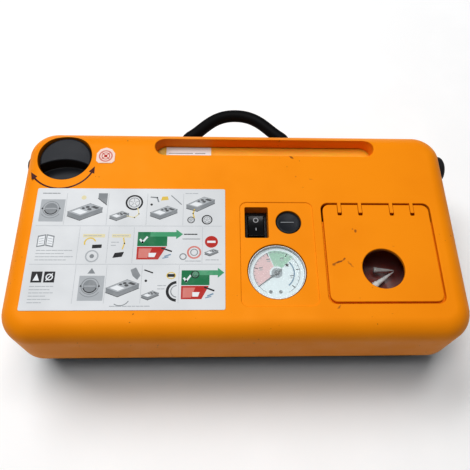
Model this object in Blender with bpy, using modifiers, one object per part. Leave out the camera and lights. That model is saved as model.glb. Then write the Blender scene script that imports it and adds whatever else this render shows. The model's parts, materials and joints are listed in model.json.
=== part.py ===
"""Tyre inflator and sealant kit in a flat orange carry case.

A low case holds a 12 V piston compressor, a flask of sealant, a selector knob, an on/off rocker,
a pressure gauge with its bleed button and a lidded compartment for adaptors. The air hose is
parked in a groove round the black base.

Frame: metres, +Z up, +X along the long side, -Y is the front that faces the user. The origin is
the centre of the flat underside. Heights are given as depths below the top face where that is
how the piece is fitted, through the function below_top().
"""
import math

import bmesh
import bpy
from mathutils import Matrix, Vector

MM = 0.001

# ---------------------------------------------------------------- driving dimensions
case_length = 295 * MM
case_depth = 156 * MM
case_height = 78 * MM
plan_corner = 20 * MM           # corner radius of the case seen from above
edge_radius = 12.5 * MM         # rounding of the top edge, front and sides
rear_edge_radius = 18 * MM      # rounding of the top edge along the rear
cover_wall = 2.5 * MM
cover_skirt = 46 * MM           # height of the orange cover's side wall
gap = 0.3 * MM                  # air left between neighbouring pieces
slide_gap = 0.4 * MM            # radial clearance of pieces that turn or slide in a bore

# black base with the hose groove round it
base_wall = 2.4 * MM
lip_height = 2.7 * MM
lip_inset = 0.8 * MM
groove_height = 11 * MM
groove_inset = 12.5 * MM
groove_corner = 27.5 * MM
foot_inset = 9 * MM             # how far the underside stands in from the case outline
shoulder_inset = 4.2 * MM       # the base's widest line, just below the groove
base_tongue = 4.3 * MM          # rim that stands up inside the cover

# air hose in the groove
hose_radius = 4 * MM
hose_inset = 8 * MM
hose_bend = 32 * MM
hose_start_y = -12 * MM
hose_end_y = 8 * MM
connector_length = 26 * MM
connector_radius = 4.2 * MM

# selector knob
knob_x = -120.5 * MM
knob_y = 51 * MM
knob_well_radius = 18.5 * MM
knob_well_depth = 17.8 * MM
knob_top_depth = 3 * MM
knob_scoop_depth = 12.6 * MM    # floor of the finger scoop
knob_scoop_radius = 33 * MM
knob_scoop_offset = 0.5 * MM    # how far in front of the axis the scoop's edge passes
knob_spindle_radius = 4 * MM
cup_wall = 1.9 * MM

# sight slot over the sealant flask
slot_x = 19.3 * MM
slot_y = 61 * MM
slot_length = 156 * MM
slot_width = 15 * MM
slot_collar_depth = 11.7 * MM
flask_length = 164 * MM
flask_depth = 42 * MM
flask_height = 33 * MM
flask_rear_margin = 1.7 * MM    # flask beyond the slot's rear edge
flask_neck_radius = 9 * MM
flask_neck_length = 12 * MM
flask_cap_radius = 12 * MM
flask_cap_length = 15 * MM

# control panel
panel_x = 24.8 * MM
panel_y = -21.5 * MM
panel_width = 48.8 * MM
panel_depth = 73.6 * MM
panel_corner = 4 * MM
panel_sink = 0.6 * MM
switch_x = 11.3 * MM
switch_y = 0.4 * MM
switch_pocket_width = 15.6 * MM
switch_pocket_depth = 22.8 * MM
switch_sink = 7.6 * MM          # bezel below the top face
switch_body_width = 13 * MM
switch_body_depth = 19.2 * MM
rocker_swing = 16               # degrees between off and on
button_x = 32.6 * MM
button_y = 0.6 * MM
button_hole_radius = 8.55 * MM
button_sink = 1.6 * MM
button_travel = 3 * MM
gauge_x = 23.6 * MM
gauge_y = -34.7 * MM
gauge_hole_radius = 19 * MM
gauge_rest_angle = 218          # degrees, needle direction at zero pressure

# adaptor compartment and its flap
flap_x = 92.55 * MM
flap_front_y = -55.7 * MM
flap_rear_y = 13.9 * MM
flap_width = 72.7 * MM
flap_corner = 5 * MM
flap_gap = 1.2 * MM
flap_thickness = 2.4 * MM
finger_hole_y = -33 * MM
finger_hole_radius = 13.8 * MM
hinge_y = 10.5 * MM
hinge_depth = 2.3 * MM
hinge_radius = 2.2 * MM
hinge_pin_radius = 1 * MM
lug_inner_x = 10.75 * MM        # hinge lugs, measured from the flap's centre line
lug_outer_x = 24.9 * MM
lug_width = 2.3 * MM
lug_front_y = 7.7 * MM
notch_front_y = 5.7 * MM
ledge_width = 2.6 * MM          # rebate under the flap's front and side edges
ledge_thickness = 1.2 * MM
ledge_rear_y = 2 * MM
tray_depth = 36 * MM
tray_wall = 1.8 * MM

# carry handle on the rear wall
handle_x = -1 * MM
handle_half_span = 37.5 * MM
handle_reach = 29 * MM          # its middle line behind the rear wall
handle_shoulder_x = 34.1 * MM   # where its straight flanks start, from its middle
handle_shoulder_y = 8.5 * MM
handle_depth = 24 * MM          # height line of the handle below the top face
handle_radius = 5 * MM
handle_flange = 7.5 * MM        # heads that hold its ends inside the rear wall
bezel_height = 1.6 * MM

# hose retainers on the side walls
retainer_y = 58 * MM
retainer_depth = 24 * MM
retainer_sizes = (("left", -1, 7.5 * MM, 5 * MM), ("right", 1, 10 * MM, 8 * MM))
retainer_pin_radius = 2 * MM
retainer_finger_width = 12 * MM
retainer_finger_length = 34 * MM
retainer_finger_thickness = 3.2 * MM

# compressor
motor_radius = 18 * MM
motor_length = 55 * MM
motor_right_x = -10 * MM
motor_y = 4 * MM
motor_z = 22.5 * MM
gear_module = 1.0 * MM
gear_teeth = 44
pinion_teeth = 10
gear_width = 6 * MM
crank_throw = 7 * MM
cylinder_bore = 10 * MM
cylinder_wall = 2.5 * MM
cylinder_length = 27 * MM
piston_length = 9 * MM
rod_length = 38 * MM
frame_plate = 3 * MM

# rubber pads let into the underside, and the gland of the 12 V lead
pad_thickness = 1.0 * MM
gland_x = -100 * MM
gland_z = 9 * MM
gland_radius = 4.5 * MM

# instruction label and small sticker
label_x = -72 * MM
label_y = -17.7 * MM
label_width = 125 * MM
label_depth = 86 * MM
label_thickness = 0.25 * MM
label_lift = 0.05 * MM
sticker_x = -92.3 * MM
sticker_y = 52.2 * MM
sticker_size = 12.6 * MM

# case screws, driven from below
screw_places = (("front_left", -120 * MM, -50 * MM), ("rear_left", -127 * MM, 10 * MM),
                ("front_right", 47.5 * MM, -55 * MM), ("rear_right", 118 * MM, 30 * MM))
screw_radius = 1.8 * MM
screw_head_radius = 3.8 * MM
pillar_radius = 5 * MM
pillar_top = 34 * MM
pad_places = (("front_left", -85 * MM, -48 * MM), ("front_right", 85 * MM, -48 * MM),
              ("rear_left", -85 * MM, 48 * MM), ("rear_right", 85 * MM, 48 * MM))

CORNER_STEPS = 6                # facets of each plan corner
EDGE_STEPS = 6                  # facets of the rounded top edge
OVER = 2 * MM                   # how far a cutter runs past the face it cuts

# ---------------------------------------------------------------- derived places
half_length = case_length / 2
half_depth = case_depth / 2
split_z = case_height - cover_skirt
lip_top = split_z - gap
lip_bottom = lip_top - lip_height
groove_floor = lip_bottom - groove_height
hose_z = groove_floor + groove_height / 2
slot_rear_y = slot_y + slot_width / 2
flask_top_depth = slot_collar_depth + slide_gap
flask_y = slot_rear_y + flask_rear_margin - flask_depth / 2
flask_left_x = slot_x - flask_length / 2
opening_front_y = flap_front_y - flap_gap
opening_rear_y = flap_rear_y + flap_gap
opening_width = flap_width + 2 * flap_gap
skirt_depth = hinge_depth + hinge_radius + slide_gap
tray_top_depth = skirt_depth + gap
gear_pitch = gear_module * gear_teeth / 2
pinion_pitch = gear_module * pinion_teeth / 2
gear_z = motor_z + gear_pitch + pinion_pitch
motor_left_x = motor_right_x - motor_length
plate_right_x = motor_left_x - gap
plate_left_x = plate_right_x - frame_plate
gear_right_x = plate_left_x - 2 * gap
gear_left_x = gear_right_x - gear_width
crank_pin_end_x = gear_left_x - 3.8 * MM
rod_right_x = crank_pin_end_x - 2 * gap
rod_thickness = 4 * MM
rod_x = rod_right_x - rod_thickness / 2
rod_eye_y = motor_y + crank_throw
piston_rear_y = rod_eye_y - rod_length
cylinder_rear_y = piston_rear_y + 3 * MM
cylinder_front_y = cylinder_rear_y - cylinder_length
valve_radius = 15 * MM
valve_top_depth = knob_well_depth + cup_wall + gap
valve_height = 22 * MM
valve_port_depth = 32 * MM


def below_top(depth):
    """Height of a plane that lies the given depth below the top face."""
    return case_height - depth


# ---------------------------------------------------------------- scene, collections, materials
for stale in list(bpy.data.objects):
    bpy.data.objects.remove(stale, do_unlink=True)

parts = bpy.data.collections.new("tyre_inflator_kit")
cutters = bpy.data.collections.new("cutters")
bpy.context.scene.collection.children.link(parts)
bpy.context.scene.collection.children.link(cutters)


def material(name, colour, roughness, metallic=0.0):
    """A plain Principled material."""
    made = bpy.data.materials.new(name)
    made.use_nodes = True
    shader = made.node_tree.nodes["Principled BSDF"]
    shader.inputs["Base Color"].default_value = (*colour, 1.0)
    shader.inputs["Roughness"].default_value = roughness
    shader.inputs["Metallic"].default_value = metallic
    return made


ORANGE = material("orange_plastic", (0.93, 0.29, 0.02), 0.45)
BLACK = material("black_plastic", (0.02, 0.02, 0.022), 0.5)
GLOSS_BLACK = material("gloss_black", (0.012, 0.012, 0.013), 0.25)
RUBBER = material("black_rubber", (0.015, 0.015, 0.015), 0.75)
STEEL = material("steel", (0.55, 0.55, 0.56), 0.3, 1.0)
ALUMINIUM = material("cast_aluminium", (0.6, 0.6, 0.6), 0.45, 1.0)
BRASS = material("brass", (0.7, 0.5, 0.2), 0.3, 1.0)
NYLON = material("white_nylon", (0.8, 0.79, 0.74), 0.5)
FLASK = material("amber_polyethylene", (0.8, 0.45, 0.1), 0.35)
PAPER = material("label_vinyl", (0.82, 0.83, 0.84), 0.5)
DIAL = material("dial_white", (0.85, 0.86, 0.86), 0.5)
LENS = material("clear_acrylic", (0.9, 0.93, 0.95), 0.05)
FILM = material("clear_film", (0.75, 0.77, 0.8), 0.15)


def link(made, colour, collection=parts):
    """Put an object in its collection, give it its material and shade it smooth."""
    collection.objects.link(made)
    if colour is not None:
        made.data.materials.append(colour)
    if collection is cutters:
        made.hide_render = True
        made.display_type = 'WIRE'
    elif made.type == 'MESH':
        made.data.shade_smooth()
        made.data.set_sharp_from_angle(angle=math.radians(35))
    return made


def from_bmesh(name, shape, colour, collection=parts):
    """Turn a bmesh into an object with its faces pointing out."""
    bmesh.ops.recalc_face_normals(shape, faces=shape.faces)
    mesh = bpy.data.meshes.new(name)
    shape.to_mesh(mesh)
    shape.free()
    return link(bpy.data.objects.new(name, mesh), colour, collection)


def set_origin(made, point):
    """Move an object's origin to a point, such as a place on its joint's axis."""
    shift = Vector(point) - made.location
    made.data.transform(Matrix.Translation(-shift))
    made.location = Vector(point)
    return made


# ---------------------------------------------------------------- shape helpers
def box(name, low, high, colour, collection=parts, corner=0.0, steps=4, edges="vertical"):
    """A box between two corners; its vertical edges, or all of them, may be rounded."""
    low, high = Vector(low), Vector(high)
    size = high - low
    shape = bmesh.new()
    bmesh.ops.create_cube(shape, size=1.0)
    bmesh.ops.scale(shape, vec=size, verts=shape.verts)
    if corner > 0:
        chosen = shape.edges[:]
        if edges == "vertical":
            chosen = [e for e in chosen if abs(e.verts[0].co.z - e.verts[1].co.z) > size.z / 2]
        bmesh.ops.bevel(shape, geom=chosen, offset=corner, segments=steps, profile=0.5,
                        affect='EDGES', clamp_overlap=True)
    made = from_bmesh(name, shape, colour, collection)
    made.location = (low + high) / 2
    return made


def cylinder(name, radius, start, end, colour, collection=parts, sides=32):
    """A cylinder between two points."""
    start, end = Vector(start), Vector(end)
    run = end - start
    shape = bmesh.new()
    bmesh.ops.create_cone(shape, cap_ends=True, segments=sides, radius1=radius, radius2=radius,
                          depth=run.length)
    turn = Vector((0, 0, 1)).rotation_difference(run.normalized())
    bmesh.ops.rotate(shape, cent=(0, 0, 0), matrix=turn.to_matrix(), verts=shape.verts)
    made = from_bmesh(name, shape, colour, collection)
    made.location = (start + end) / 2
    return made


def turned(name, profile, place, colour, collection=parts, sides=32, tilt=None):
    """A turned piece: (radius, height) points run from the top down its outer side.

    A profile that comes back to its first point makes a ring.
    """
    ring = profile[0] == profile[-1]
    points = [(radius, 0.0, height) for radius, height in (profile[:-1] if ring else profile)]
    edges = [(i, i + 1) for i in range(len(points) - 1)]
    if ring:
        edges.append((len(points) - 1, 0))
    mesh = bpy.data.meshes.new(name)
    mesh.from_pydata(points, edges, [])
    made = link(bpy.data.objects.new(name, mesh), colour, collection)
    made.location = place
    if tilt is not None:
        made.rotation_euler = tilt
    screw = made.modifiers.new("turn", 'SCREW')
    screw.steps = sides
    screw.render_steps = sides
    screw.use_merge_vertices = True
    screw.merge_threshold = 0.00001
    screw.use_smooth_shade = True
    return made


def curve_to_mesh(curve_object, colour, collection=parts):
    """Make a filled curve one closed mesh, with its caps welded on."""
    bpy.context.scene.collection.objects.link(curve_object)
    bpy.context.view_layer.update()
    evaluated = curve_object.evaluated_get(bpy.context.evaluated_depsgraph_get())
    mesh = bpy.data.meshes.new_from_object(evaluated)
    shape = bmesh.new()
    shape.from_mesh(mesh)
    bmesh.ops.remove_doubles(shape, verts=shape.verts, dist=0.000001)
    bmesh.ops.recalc_face_normals(shape, faces=shape.faces)
    shape.to_mesh(mesh)
    shape.free()
    mesh.materials.clear()
    made = bpy.data.objects.new(curve_object.name + "_mesh", mesh)
    made.matrix_world = curve_object.matrix_world
    name = curve_object.name
    bpy.data.objects.remove(curve_object, do_unlink=True)
    made.name = name
    return link(made, colour, collection)


def flat_shape(name, outlines, thickness, place, colour, collection=parts, tilt=None):
    """A flat plate from closed outlines, the later ones being holes; it is centred on place."""
    curve = bpy.data.curves.new(name, 'CURVE')
    curve.dimensions = '2D'
    curve.fill_mode = 'BOTH'
    curve.extrude = thickness / 2
    for outline in outlines:
        spline = curve.splines.new('POLY')
        spline.points.add(len(outline) - 1)
        for point, (x, y) in zip(spline.points, outline):
            point.co = (x, y, 0, 1)
        spline.use_cyclic_u = True
    made = bpy.data.objects.new(name, curve)
    made.location = place
    if tilt is not None:
        made.rotation_euler = tilt
    return curve_to_mesh(made, colour, collection)


def tube(name, points, radius, colour, resolution=2, collection=parts):
    """A hose or wire along a list of points."""
    curve = bpy.data.curves.new(name, 'CURVE')
    curve.dimensions = '3D'
    curve.bevel_depth = radius
    curve.bevel_resolution = resolution
    curve.use_fill_caps = True
    curve.render_resolution_u = 0
    spline = curve.splines.new('POLY')
    spline.points.add(len(points) - 1)
    for point, where in zip(spline.points, points):
        point.co = (*where, 1)
    return curve_to_mesh(bpy.data.objects.new(name, curve), colour, collection)


def boolean(target, tool, operation='DIFFERENCE'):
    """Cut target with tool, or join or intersect them."""
    cut = target.modifiers.new(tool.name, 'BOOLEAN')
    cut.operation = operation
    cut.object = tool
    cut.solver = 'EXACT'
    return target


def circle(radius, sides, centre=(0.0, 0.0)):
    """Points of a circle."""
    step = 2 * math.pi / sides
    return [(centre[0] + radius * math.cos(i * step), centre[1] + radius * math.sin(i * step))
            for i in range(sides)]


def obround(name, centre, length, width, low_z, high_z, collection=cutters):
    """A prism with a slot's outline, its long side along X."""
    low = (centre[0] - length / 2, centre[1] - width / 2, low_z)
    high = (centre[0] + length / 2, centre[1] + width / 2, high_z)
    return box(name, low, high, None, collection, corner=width / 2 * 0.999, steps=10)


def smooth_route(anchors, steps):
    """Points of a Catmull-Rom curve through a few anchors."""
    anchors = [Vector(a) for a in anchors]
    padded = [anchors[0] * 2 - anchors[1]] + anchors + [anchors[-1] * 2 - anchors[-2]]
    route = []
    for i in range(1, len(padded) - 2):
        before, start, end, after = padded[i - 1:i + 3]
        for step in range(steps):
            t = step / steps
            route.append(0.5 * (2 * start + (end - before) * t
                                + (2 * before - 5 * start + 4 * end - after) * t ** 2
                                + (3 * start - before - 3 * end + after) * t ** 3))
    return route + [anchors[-1]]


# ---------------------------------------------------------------- lofted shells
def plan_ring(inset, corner, height, rear_inset=None, rear_height=None):
    """One level of the case outline, counter-clockwise, with an own inset and height at the rear."""
    rear_inset = inset if rear_inset is None else rear_inset
    rear_height = height if rear_height is None else rear_height
    x = half_length - inset
    front = -half_depth + inset
    rear = half_depth - rear_inset
    corners = ((x - corner, rear - corner, 0), (-x + corner, rear - corner, 90),
               (-x + corner, front + corner, 180), (x - corner, front + corner, 270))
    ring = []
    for centre_x, centre_y, first in corners:
        for step in range(CORNER_STEPS + 1):
            angle = math.radians(first + 90 * step / CORNER_STEPS)
            share = 0.0
            if first < 180:
                share = step / CORNER_STEPS if first == 0 else 1 - step / CORNER_STEPS
            z = height + (rear_height - height) * share
            ring.append((centre_x + corner * math.cos(angle), centre_y + corner * math.sin(angle), z))
    return ring


def ring_solid(name, rings, colour, collection=parts):
    """A closed solid through a stack of rings, capped at both ends."""
    shape = bmesh.new()
    levels = [[shape.verts.new(point) for point in ring] for ring in rings]
    count = len(levels[0])
    for lower, upper in zip(levels, levels[1:]):
        for i in range(count):
            j = (i + 1) % count
            shape.faces.new((lower[i], lower[j], upper[j], upper[i]))
    shape.faces.new(levels[0])
    shape.faces.new(levels[-1])
    return from_bmesh(name, shape, colour, collection)


def dome_rings(inset, top_z, bottom_z, radius, rear_radius):
    """Rings of a box whose top edge is rounded, from its flat top down to bottom_z."""
    rings = []
    for step in range(EDGE_STEPS + 1):
        angle = math.pi / 2 * step / EDGE_STEPS
        side = inset + radius * (1 - math.sin(angle))
        rear = inset + rear_radius * (1 - math.sin(angle))
        rings.append(plan_ring(side, max(plan_corner - side, 3 * MM),
                               top_z - radius * (1 - math.cos(angle)),
                               rear, top_z - rear_radius * (1 - math.cos(angle))))
    rings.append(plan_ring(inset, plan_corner - inset, bottom_z))
    return rings


# ---------------------------------------------------------------- top cover
def hinge_lug_places():
    """X of the four hinge lugs."""
    return [flap_x + side * offset for side in (-1, 1) for offset in (lug_inner_x, lug_outer_x)]


def make_top_cover():
    """The orange cover: a hollow lid with wells, collars and bosses left standing inside."""
    cover = ring_solid("top_cover", dome_rings(0.0, case_height, split_z, edge_radius,
                                               rear_edge_radius), ORANGE)
    cavity = ring_solid("cover_cavity",
                        dome_rings(cover_wall, case_height - cover_wall, split_z - OVER,
                                   edge_radius - cover_wall, rear_edge_radius - cover_wall),
                        None, cutters)
    roof = case_height + OVER
    islands = [
        cylinder("well_island", knob_well_radius + cup_wall,
                 (knob_x, knob_y, below_top(knob_well_depth + cup_wall)), (knob_x, knob_y, roof),
                 None, cutters, 40),
        obround("slot_island", (slot_x, slot_y), slot_length + 2 * cup_wall,
                slot_width + 2 * cup_wall, below_top(slot_collar_depth), roof),
        box("switch_island",
            (switch_x - switch_pocket_width / 2 - cup_wall,
             switch_y - switch_pocket_depth / 2 - cup_wall,
             below_top(switch_sink + 3 * MM)),
            (switch_x + switch_pocket_width / 2 + cup_wall,
             switch_y + switch_pocket_depth / 2 + cup_wall, roof), None, cutters),
        cylinder("gauge_island", gauge_hole_radius + cup_wall, (gauge_x, gauge_y, below_top(8 * MM)),
                 (gauge_x, gauge_y, roof), None, cutters, 40),
        box("flap_skirt",
            (flap_x - opening_width / 2 - cup_wall, opening_front_y - cup_wall,
             below_top(skirt_depth)),
            (flap_x + opening_width / 2 + cup_wall, opening_rear_y + cup_wall, roof),
            None, cutters, corner=flap_corner + cup_wall),
    ]
    for name, x, y in screw_places:
        islands.append(cylinder("boss_island_" + name, pillar_radius - 1 * MM,
                                (x, y, pillar_top + gap), (x, y, roof), None, cutters, 20))
    for island in islands:
        boolean(cavity, island)
    boolean(cover, cavity)

    opening = box("flap_opening", (flap_x - opening_width / 2, opening_front_y, below_top(20 * MM)),
                  (flap_x + opening_width / 2, opening_rear_y, roof), None, cutters,
                  corner=flap_corner)
    for i, x in enumerate(hinge_lug_places()):
        lug = box("lug_%d" % i, (x - lug_width / 2, lug_front_y, below_top(skirt_depth - gap)),
                  (x + lug_width / 2, opening_rear_y + OVER, roof + OVER), None, cutters)
        boolean(opening, lug)
    ledge_top = below_top(flap_thickness + gap)
    ledge = box("ledge", (flap_x - opening_width / 2 - 1 * MM, opening_front_y - 1 * MM,
                          ledge_top - ledge_thickness),
                (flap_x + opening_width / 2 + 1 * MM, ledge_rear_y, ledge_top), None, cutters)
    boolean(ledge, box("ledge_window",
                       (flap_x - opening_width / 2 + ledge_width, opening_front_y + ledge_width,
                        ledge_top - ledge_thickness - OVER),
                       (flap_x + opening_width / 2 - ledge_width, ledge_rear_y + OVER,
                        ledge_top + OVER), None, cutters, corner=flap_corner - ledge_width))
    boolean(opening, ledge)

    cuts = [
        opening,
        cylinder("well_bore", knob_well_radius, (knob_x, knob_y, below_top(knob_well_depth)),
                 (knob_x, knob_y, roof), None, cutters, 40),
        cylinder("spindle_hole", knob_spindle_radius + slide_gap,
                 (knob_x, knob_y, below_top(knob_well_depth + cup_wall + OVER)),
                 (knob_x, knob_y, roof), None, cutters, 20),
        obround("sight_slot", (slot_x, slot_y), slot_length, slot_width, below_top(30 * MM), roof),
        box("panel_recess",
            (panel_x - panel_width / 2, panel_y - panel_depth / 2, below_top(panel_sink)),
            (panel_x + panel_width / 2, panel_y + panel_depth / 2, roof), None, cutters,
            corner=panel_corner),
        box("switch_pocket",
            (switch_x - switch_pocket_width / 2, switch_y - switch_pocket_depth / 2,
             below_top(switch_sink + 1.5 * MM)),
            (switch_x + switch_pocket_width / 2, switch_y + switch_pocket_depth / 2, roof),
            None, cutters, corner=0.8 * MM, steps=2),
        box("switch_cutout",
            (switch_x - switch_body_width / 2 - gap, switch_y - switch_body_depth / 2 - gap,
             below_top(switch_sink + 8 * MM)),
            (switch_x + switch_body_width / 2 + gap, switch_y + switch_body_depth / 2 + gap, roof),
            None, cutters),
        cylinder("button_hole", button_hole_radius, (button_x, button_y, below_top(6 * MM)),
                 (button_x, button_y, roof), None, cutters, 32),
        cylinder("gauge_hole", gauge_hole_radius, (gauge_x, gauge_y, below_top(12 * MM)),
                 (gauge_x, gauge_y, roof), None, cutters, 40),
    ]
    for side in (-1, 1):
        cuts.append(cylinder("lug_bore_%d" % side, hinge_pin_radius + gap,
                             (flap_x + side * (lug_inner_x - lug_width), hinge_y,
                              below_top(hinge_depth)),
                             (flap_x + side * (lug_outer_x + lug_width), hinge_y,
                              below_top(hinge_depth)), None, cutters, 12))
        x = handle_x + side * handle_half_span
        cuts.append(cylinder("handle_hole_%d" % side, handle_radius + gap,
                             (x, half_depth - cover_wall - OVER, below_top(handle_depth)),
                             (x, half_depth + OVER, below_top(handle_depth)), None, cutters, 20))
        cuts.append(cylinder("retainer_hole_%d" % side, retainer_pin_radius + gap,
                             (side * (half_length - 8 * MM), retainer_y, below_top(retainer_depth)),
                             (side * (half_length + OVER), retainer_y, below_top(retainer_depth)),
                             None, cutters, 12))
    for name, x, y in screw_places:
        cuts.append(cylinder("pilot_" + name, screw_radius + gap, (x, y, split_z),
                             (x, y, pillar_top + 14 * MM), None, cutters, 12))
    for cut in cuts:
        boolean(cover, cut)
    return cover


# ---------------------------------------------------------------- base
def make_base_shell():
    """The black base: tapered tray, hose groove, lip under the cover and a locating tongue."""
    wall_inset = groove_inset + base_wall
    tongue_inset = cover_wall + gap
    tongue_inner = tongue_inset + 1.8 * MM
    under_groove = groove_floor - base_wall
    floor = base_wall
    levels = [
        (foot_inset, plan_corner - 6 * MM, 0.0),
        (foot_inset - 1.8 * MM, plan_corner - 5 * MM, 2.5 * MM),
        (shoulder_inset, plan_corner - 3 * MM, groove_floor),
        (groove_inset, groove_corner, groove_floor),
        (groove_inset, groove_corner, lip_bottom),
        (lip_inset, plan_corner - lip_inset, lip_bottom),
        (lip_inset, plan_corner - lip_inset, lip_top),
        (tongue_inset, plan_corner - tongue_inset, lip_top),
        (tongue_inset, plan_corner - tongue_inset, lip_top + base_tongue),
        (tongue_inner, plan_corner - tongue_inner, lip_top + base_tongue),
        (tongue_inner, plan_corner - tongue_inner, lip_top),
        (wall_inset, groove_corner - base_wall, lip_top),
        (wall_inset, groove_corner - base_wall, under_groove),
        (shoulder_inset + base_wall + 0.6 * MM, plan_corner - 5 * MM, under_groove),
        (foot_inset + base_wall, plan_corner - 8 * MM, floor),
    ]
    base = ring_solid("base_shell", [plan_ring(*level) for level in levels], BLACK)
    for name, x, y in screw_places:
        pillar = cylinder("pillar_" + name, pillar_radius, (x, y, floor / 2), (x, y, pillar_top),
                          None, cutters, 20)
        boolean(base, pillar, 'UNION')
        boolean(base, cylinder("counterbore_" + name, screw_head_radius + slide_gap,
                               (x, y, -OVER), (x, y, 6 * MM), None, cutters, 20))
        boolean(base, cylinder("clearance_" + name, screw_radius + gap, (x, y, -OVER),
                               (x, y, pillar_top + OVER), None, cutters, 12))
    for name, x, y in pad_places:
        boolean(base, box("pad_pocket_" + name, (x - 12 * MM - gap, y - 7 * MM - gap, -OVER),
                          (x + 12 * MM + gap, y + 7 * MM + gap, pad_thickness + gap),
                          None, cutters, corner=4 * MM))
    boolean(base, cylinder("gland_hole", gland_radius + gap, (gland_x, half_depth, gland_z),
                           (gland_x, half_depth - 16 * MM, gland_z), None, cutters, 20))
    return base


def make_fasteners_and_pads():
    """Case screws from below, rubber pads flush with the underside and the 12 V lead's gland."""
    for name, x, y in screw_places:
        head_low = 3 * MM
        head_high = 6 * MM - gap
        profile = [(0, pillar_top + 12 * MM), (screw_radius, pillar_top + 12 * MM),
                   (screw_radius, head_high), (screw_head_radius, head_high),
                   (screw_head_radius, head_low), (1.7 * MM, head_low),
                   (1.7 * MM, head_low + 1.4 * MM), (0, head_low + 1.4 * MM)]
        turned("case_screw_" + name, profile, (x, y, 0), STEEL, sides=12)
    for name, x, y in pad_places:
        box("rubber_pad_" + name, (x - 12 * MM, y - 7 * MM, 0), (x + 12 * MM, y + 7 * MM, pad_thickness),
            RUBBER, corner=4 * MM)
    flange = gland_radius + 2 * MM
    profile = [(0, 4 * MM), (gland_radius - 1.5 * MM, 4 * MM), (flange, 1.2 * MM), (flange, 0),
               (gland_radius, 0), (gland_radius, -6 * MM), (0, -6 * MM)]
    turned("lead_gland", profile, (gland_x, half_depth - shoulder_inset + gap, gland_z), RUBBER,
           sides=20, tilt=(-math.pi / 2, 0, 0))


# ---------------------------------------------------------------- air hose in the groove
def hose_route():
    """Centre line of the hose: from the outlet, once round the case, to its connector."""
    x = half_length - hose_inset
    y = half_depth - hose_inset
    route = [(x, hose_start_y, hose_z)]
    corners = ((x, -y, 0), (-x, -y, 270), (-x, y, 180), (x, y, 90))
    for corner_x, corner_y, first in corners:
        centre = (math.copysign(abs(corner_x) - hose_bend, corner_x),
                  math.copysign(abs(corner_y) - hose_bend, corner_y))
        for step in range(9):
            angle = math.radians(first - 90 * step / 8)
            route.append((centre[0] + hose_bend * math.cos(angle),
                          centre[1] + hose_bend * math.sin(angle), hose_z))
    route.append((x, hose_end_y + connector_length + gap, hose_z))
    return route


def make_air_hose():
    """Outlet, hose and screw-on connector, all lying in the groove."""
    x = half_length - hose_inset
    tube("air_hose", hose_route(), hose_radius, RUBBER, resolution=2)
    outlet_wall = half_length - groove_inset + gap
    box("hose_outlet", (outlet_wall, hose_start_y + gap, hose_z - 4.6 * MM),
        (x + 4.4 * MM, hose_start_y + 13 * MM, hose_z + 4.6 * MM), BLACK, corner=2 * MM, steps=3)
    cap = 1.6 * MM
    profile = [(0, 0), (connector_radius - 1 * MM, 0), (connector_radius, -cap),
               (connector_radius, -connector_length * 0.62),
               (connector_radius - 1 * MM, -connector_length * 0.66),
               (connector_radius - 1 * MM, -connector_length), (0, -connector_length)]
    turned("valve_connector", profile, (x, hose_end_y, hose_z), BRASS, sides=20,
           tilt=(math.pi / 2, 0, 0))


# ---------------------------------------------------------------- carry handle
def make_carry_handle():
    """A flexible round-section loop, held by a head behind the wall at each end, and its bezels."""
    z = below_top(handle_depth)
    head_y = half_depth - cover_wall - gap
    foot_y = head_y - 2 * MM
    straight_y = half_depth + bezel_height + gap
    shoulder_y = half_depth + handle_shoulder_y
    apex_y = half_depth + handle_reach
    curve = bpy.data.curves.new("carry_handle", 'CURVE')
    curve.dimensions = '3D'
    curve.bevel_depth = handle_radius
    curve.bevel_resolution = 3
    curve.use_fill_caps = True
    curve.resolution_u = 6
    curve.render_resolution_u = 0
    spline = curve.splines.new('BEZIER')
    spline.bezier_points.add(6)
    half = [((handle_half_span, foot_y), (0, 1 * MM), (0, 1 * MM)),
            ((handle_half_span, straight_y), (0, 1 * MM), (0, 2.6 * MM)),
            ((handle_shoulder_x, shoulder_y), (-2.1 * MM, 1.6 * MM), (-10 * MM, 7.3 * MM)),
            ((0, apex_y), (-18 * MM, 0), (-18 * MM, 0))]
    for i, ((x, y), back, ahead) in enumerate(half):
        for side, point in ((1, spline.bezier_points[i]), (-1, spline.bezier_points[6 - i])):
            point.co = (handle_x + side * x, y, z)
            to_foot = (handle_x + side * (x - back[0]), y - back[1], z)
            to_apex = (handle_x + side * (x + ahead[0]), y + ahead[1], z)
            point.handle_right = to_apex if side > 0 else to_foot
            point.handle_left = to_foot if side > 0 else to_apex
    handle = curve_to_mesh(bpy.data.objects.new("carry_handle", curve), RUBBER)
    for side, name in ((-1, "left"), (1, "right")):
        x = handle_x + side * handle_half_span
        boolean(handle, cylinder("handle_head_" + name, handle_flange, (x, foot_y - 0.1 * MM, z),
                                 (x, head_y, z), None, cutters, 24), 'UNION')
        inner = handle_radius + slide_gap
        outer = handle_radius + 3 * MM
        profile = [(inner, bezel_height), (outer - 1 * MM, bezel_height),
                   (outer, bezel_height - 1 * MM), (outer, 0), (inner, 0), (inner, bezel_height)]
        turned("handle_bezel_" + name, profile, (x, half_depth + gap, z), BLACK, sides=24,
               tilt=(-math.pi / 2, 0, 0))


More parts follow.
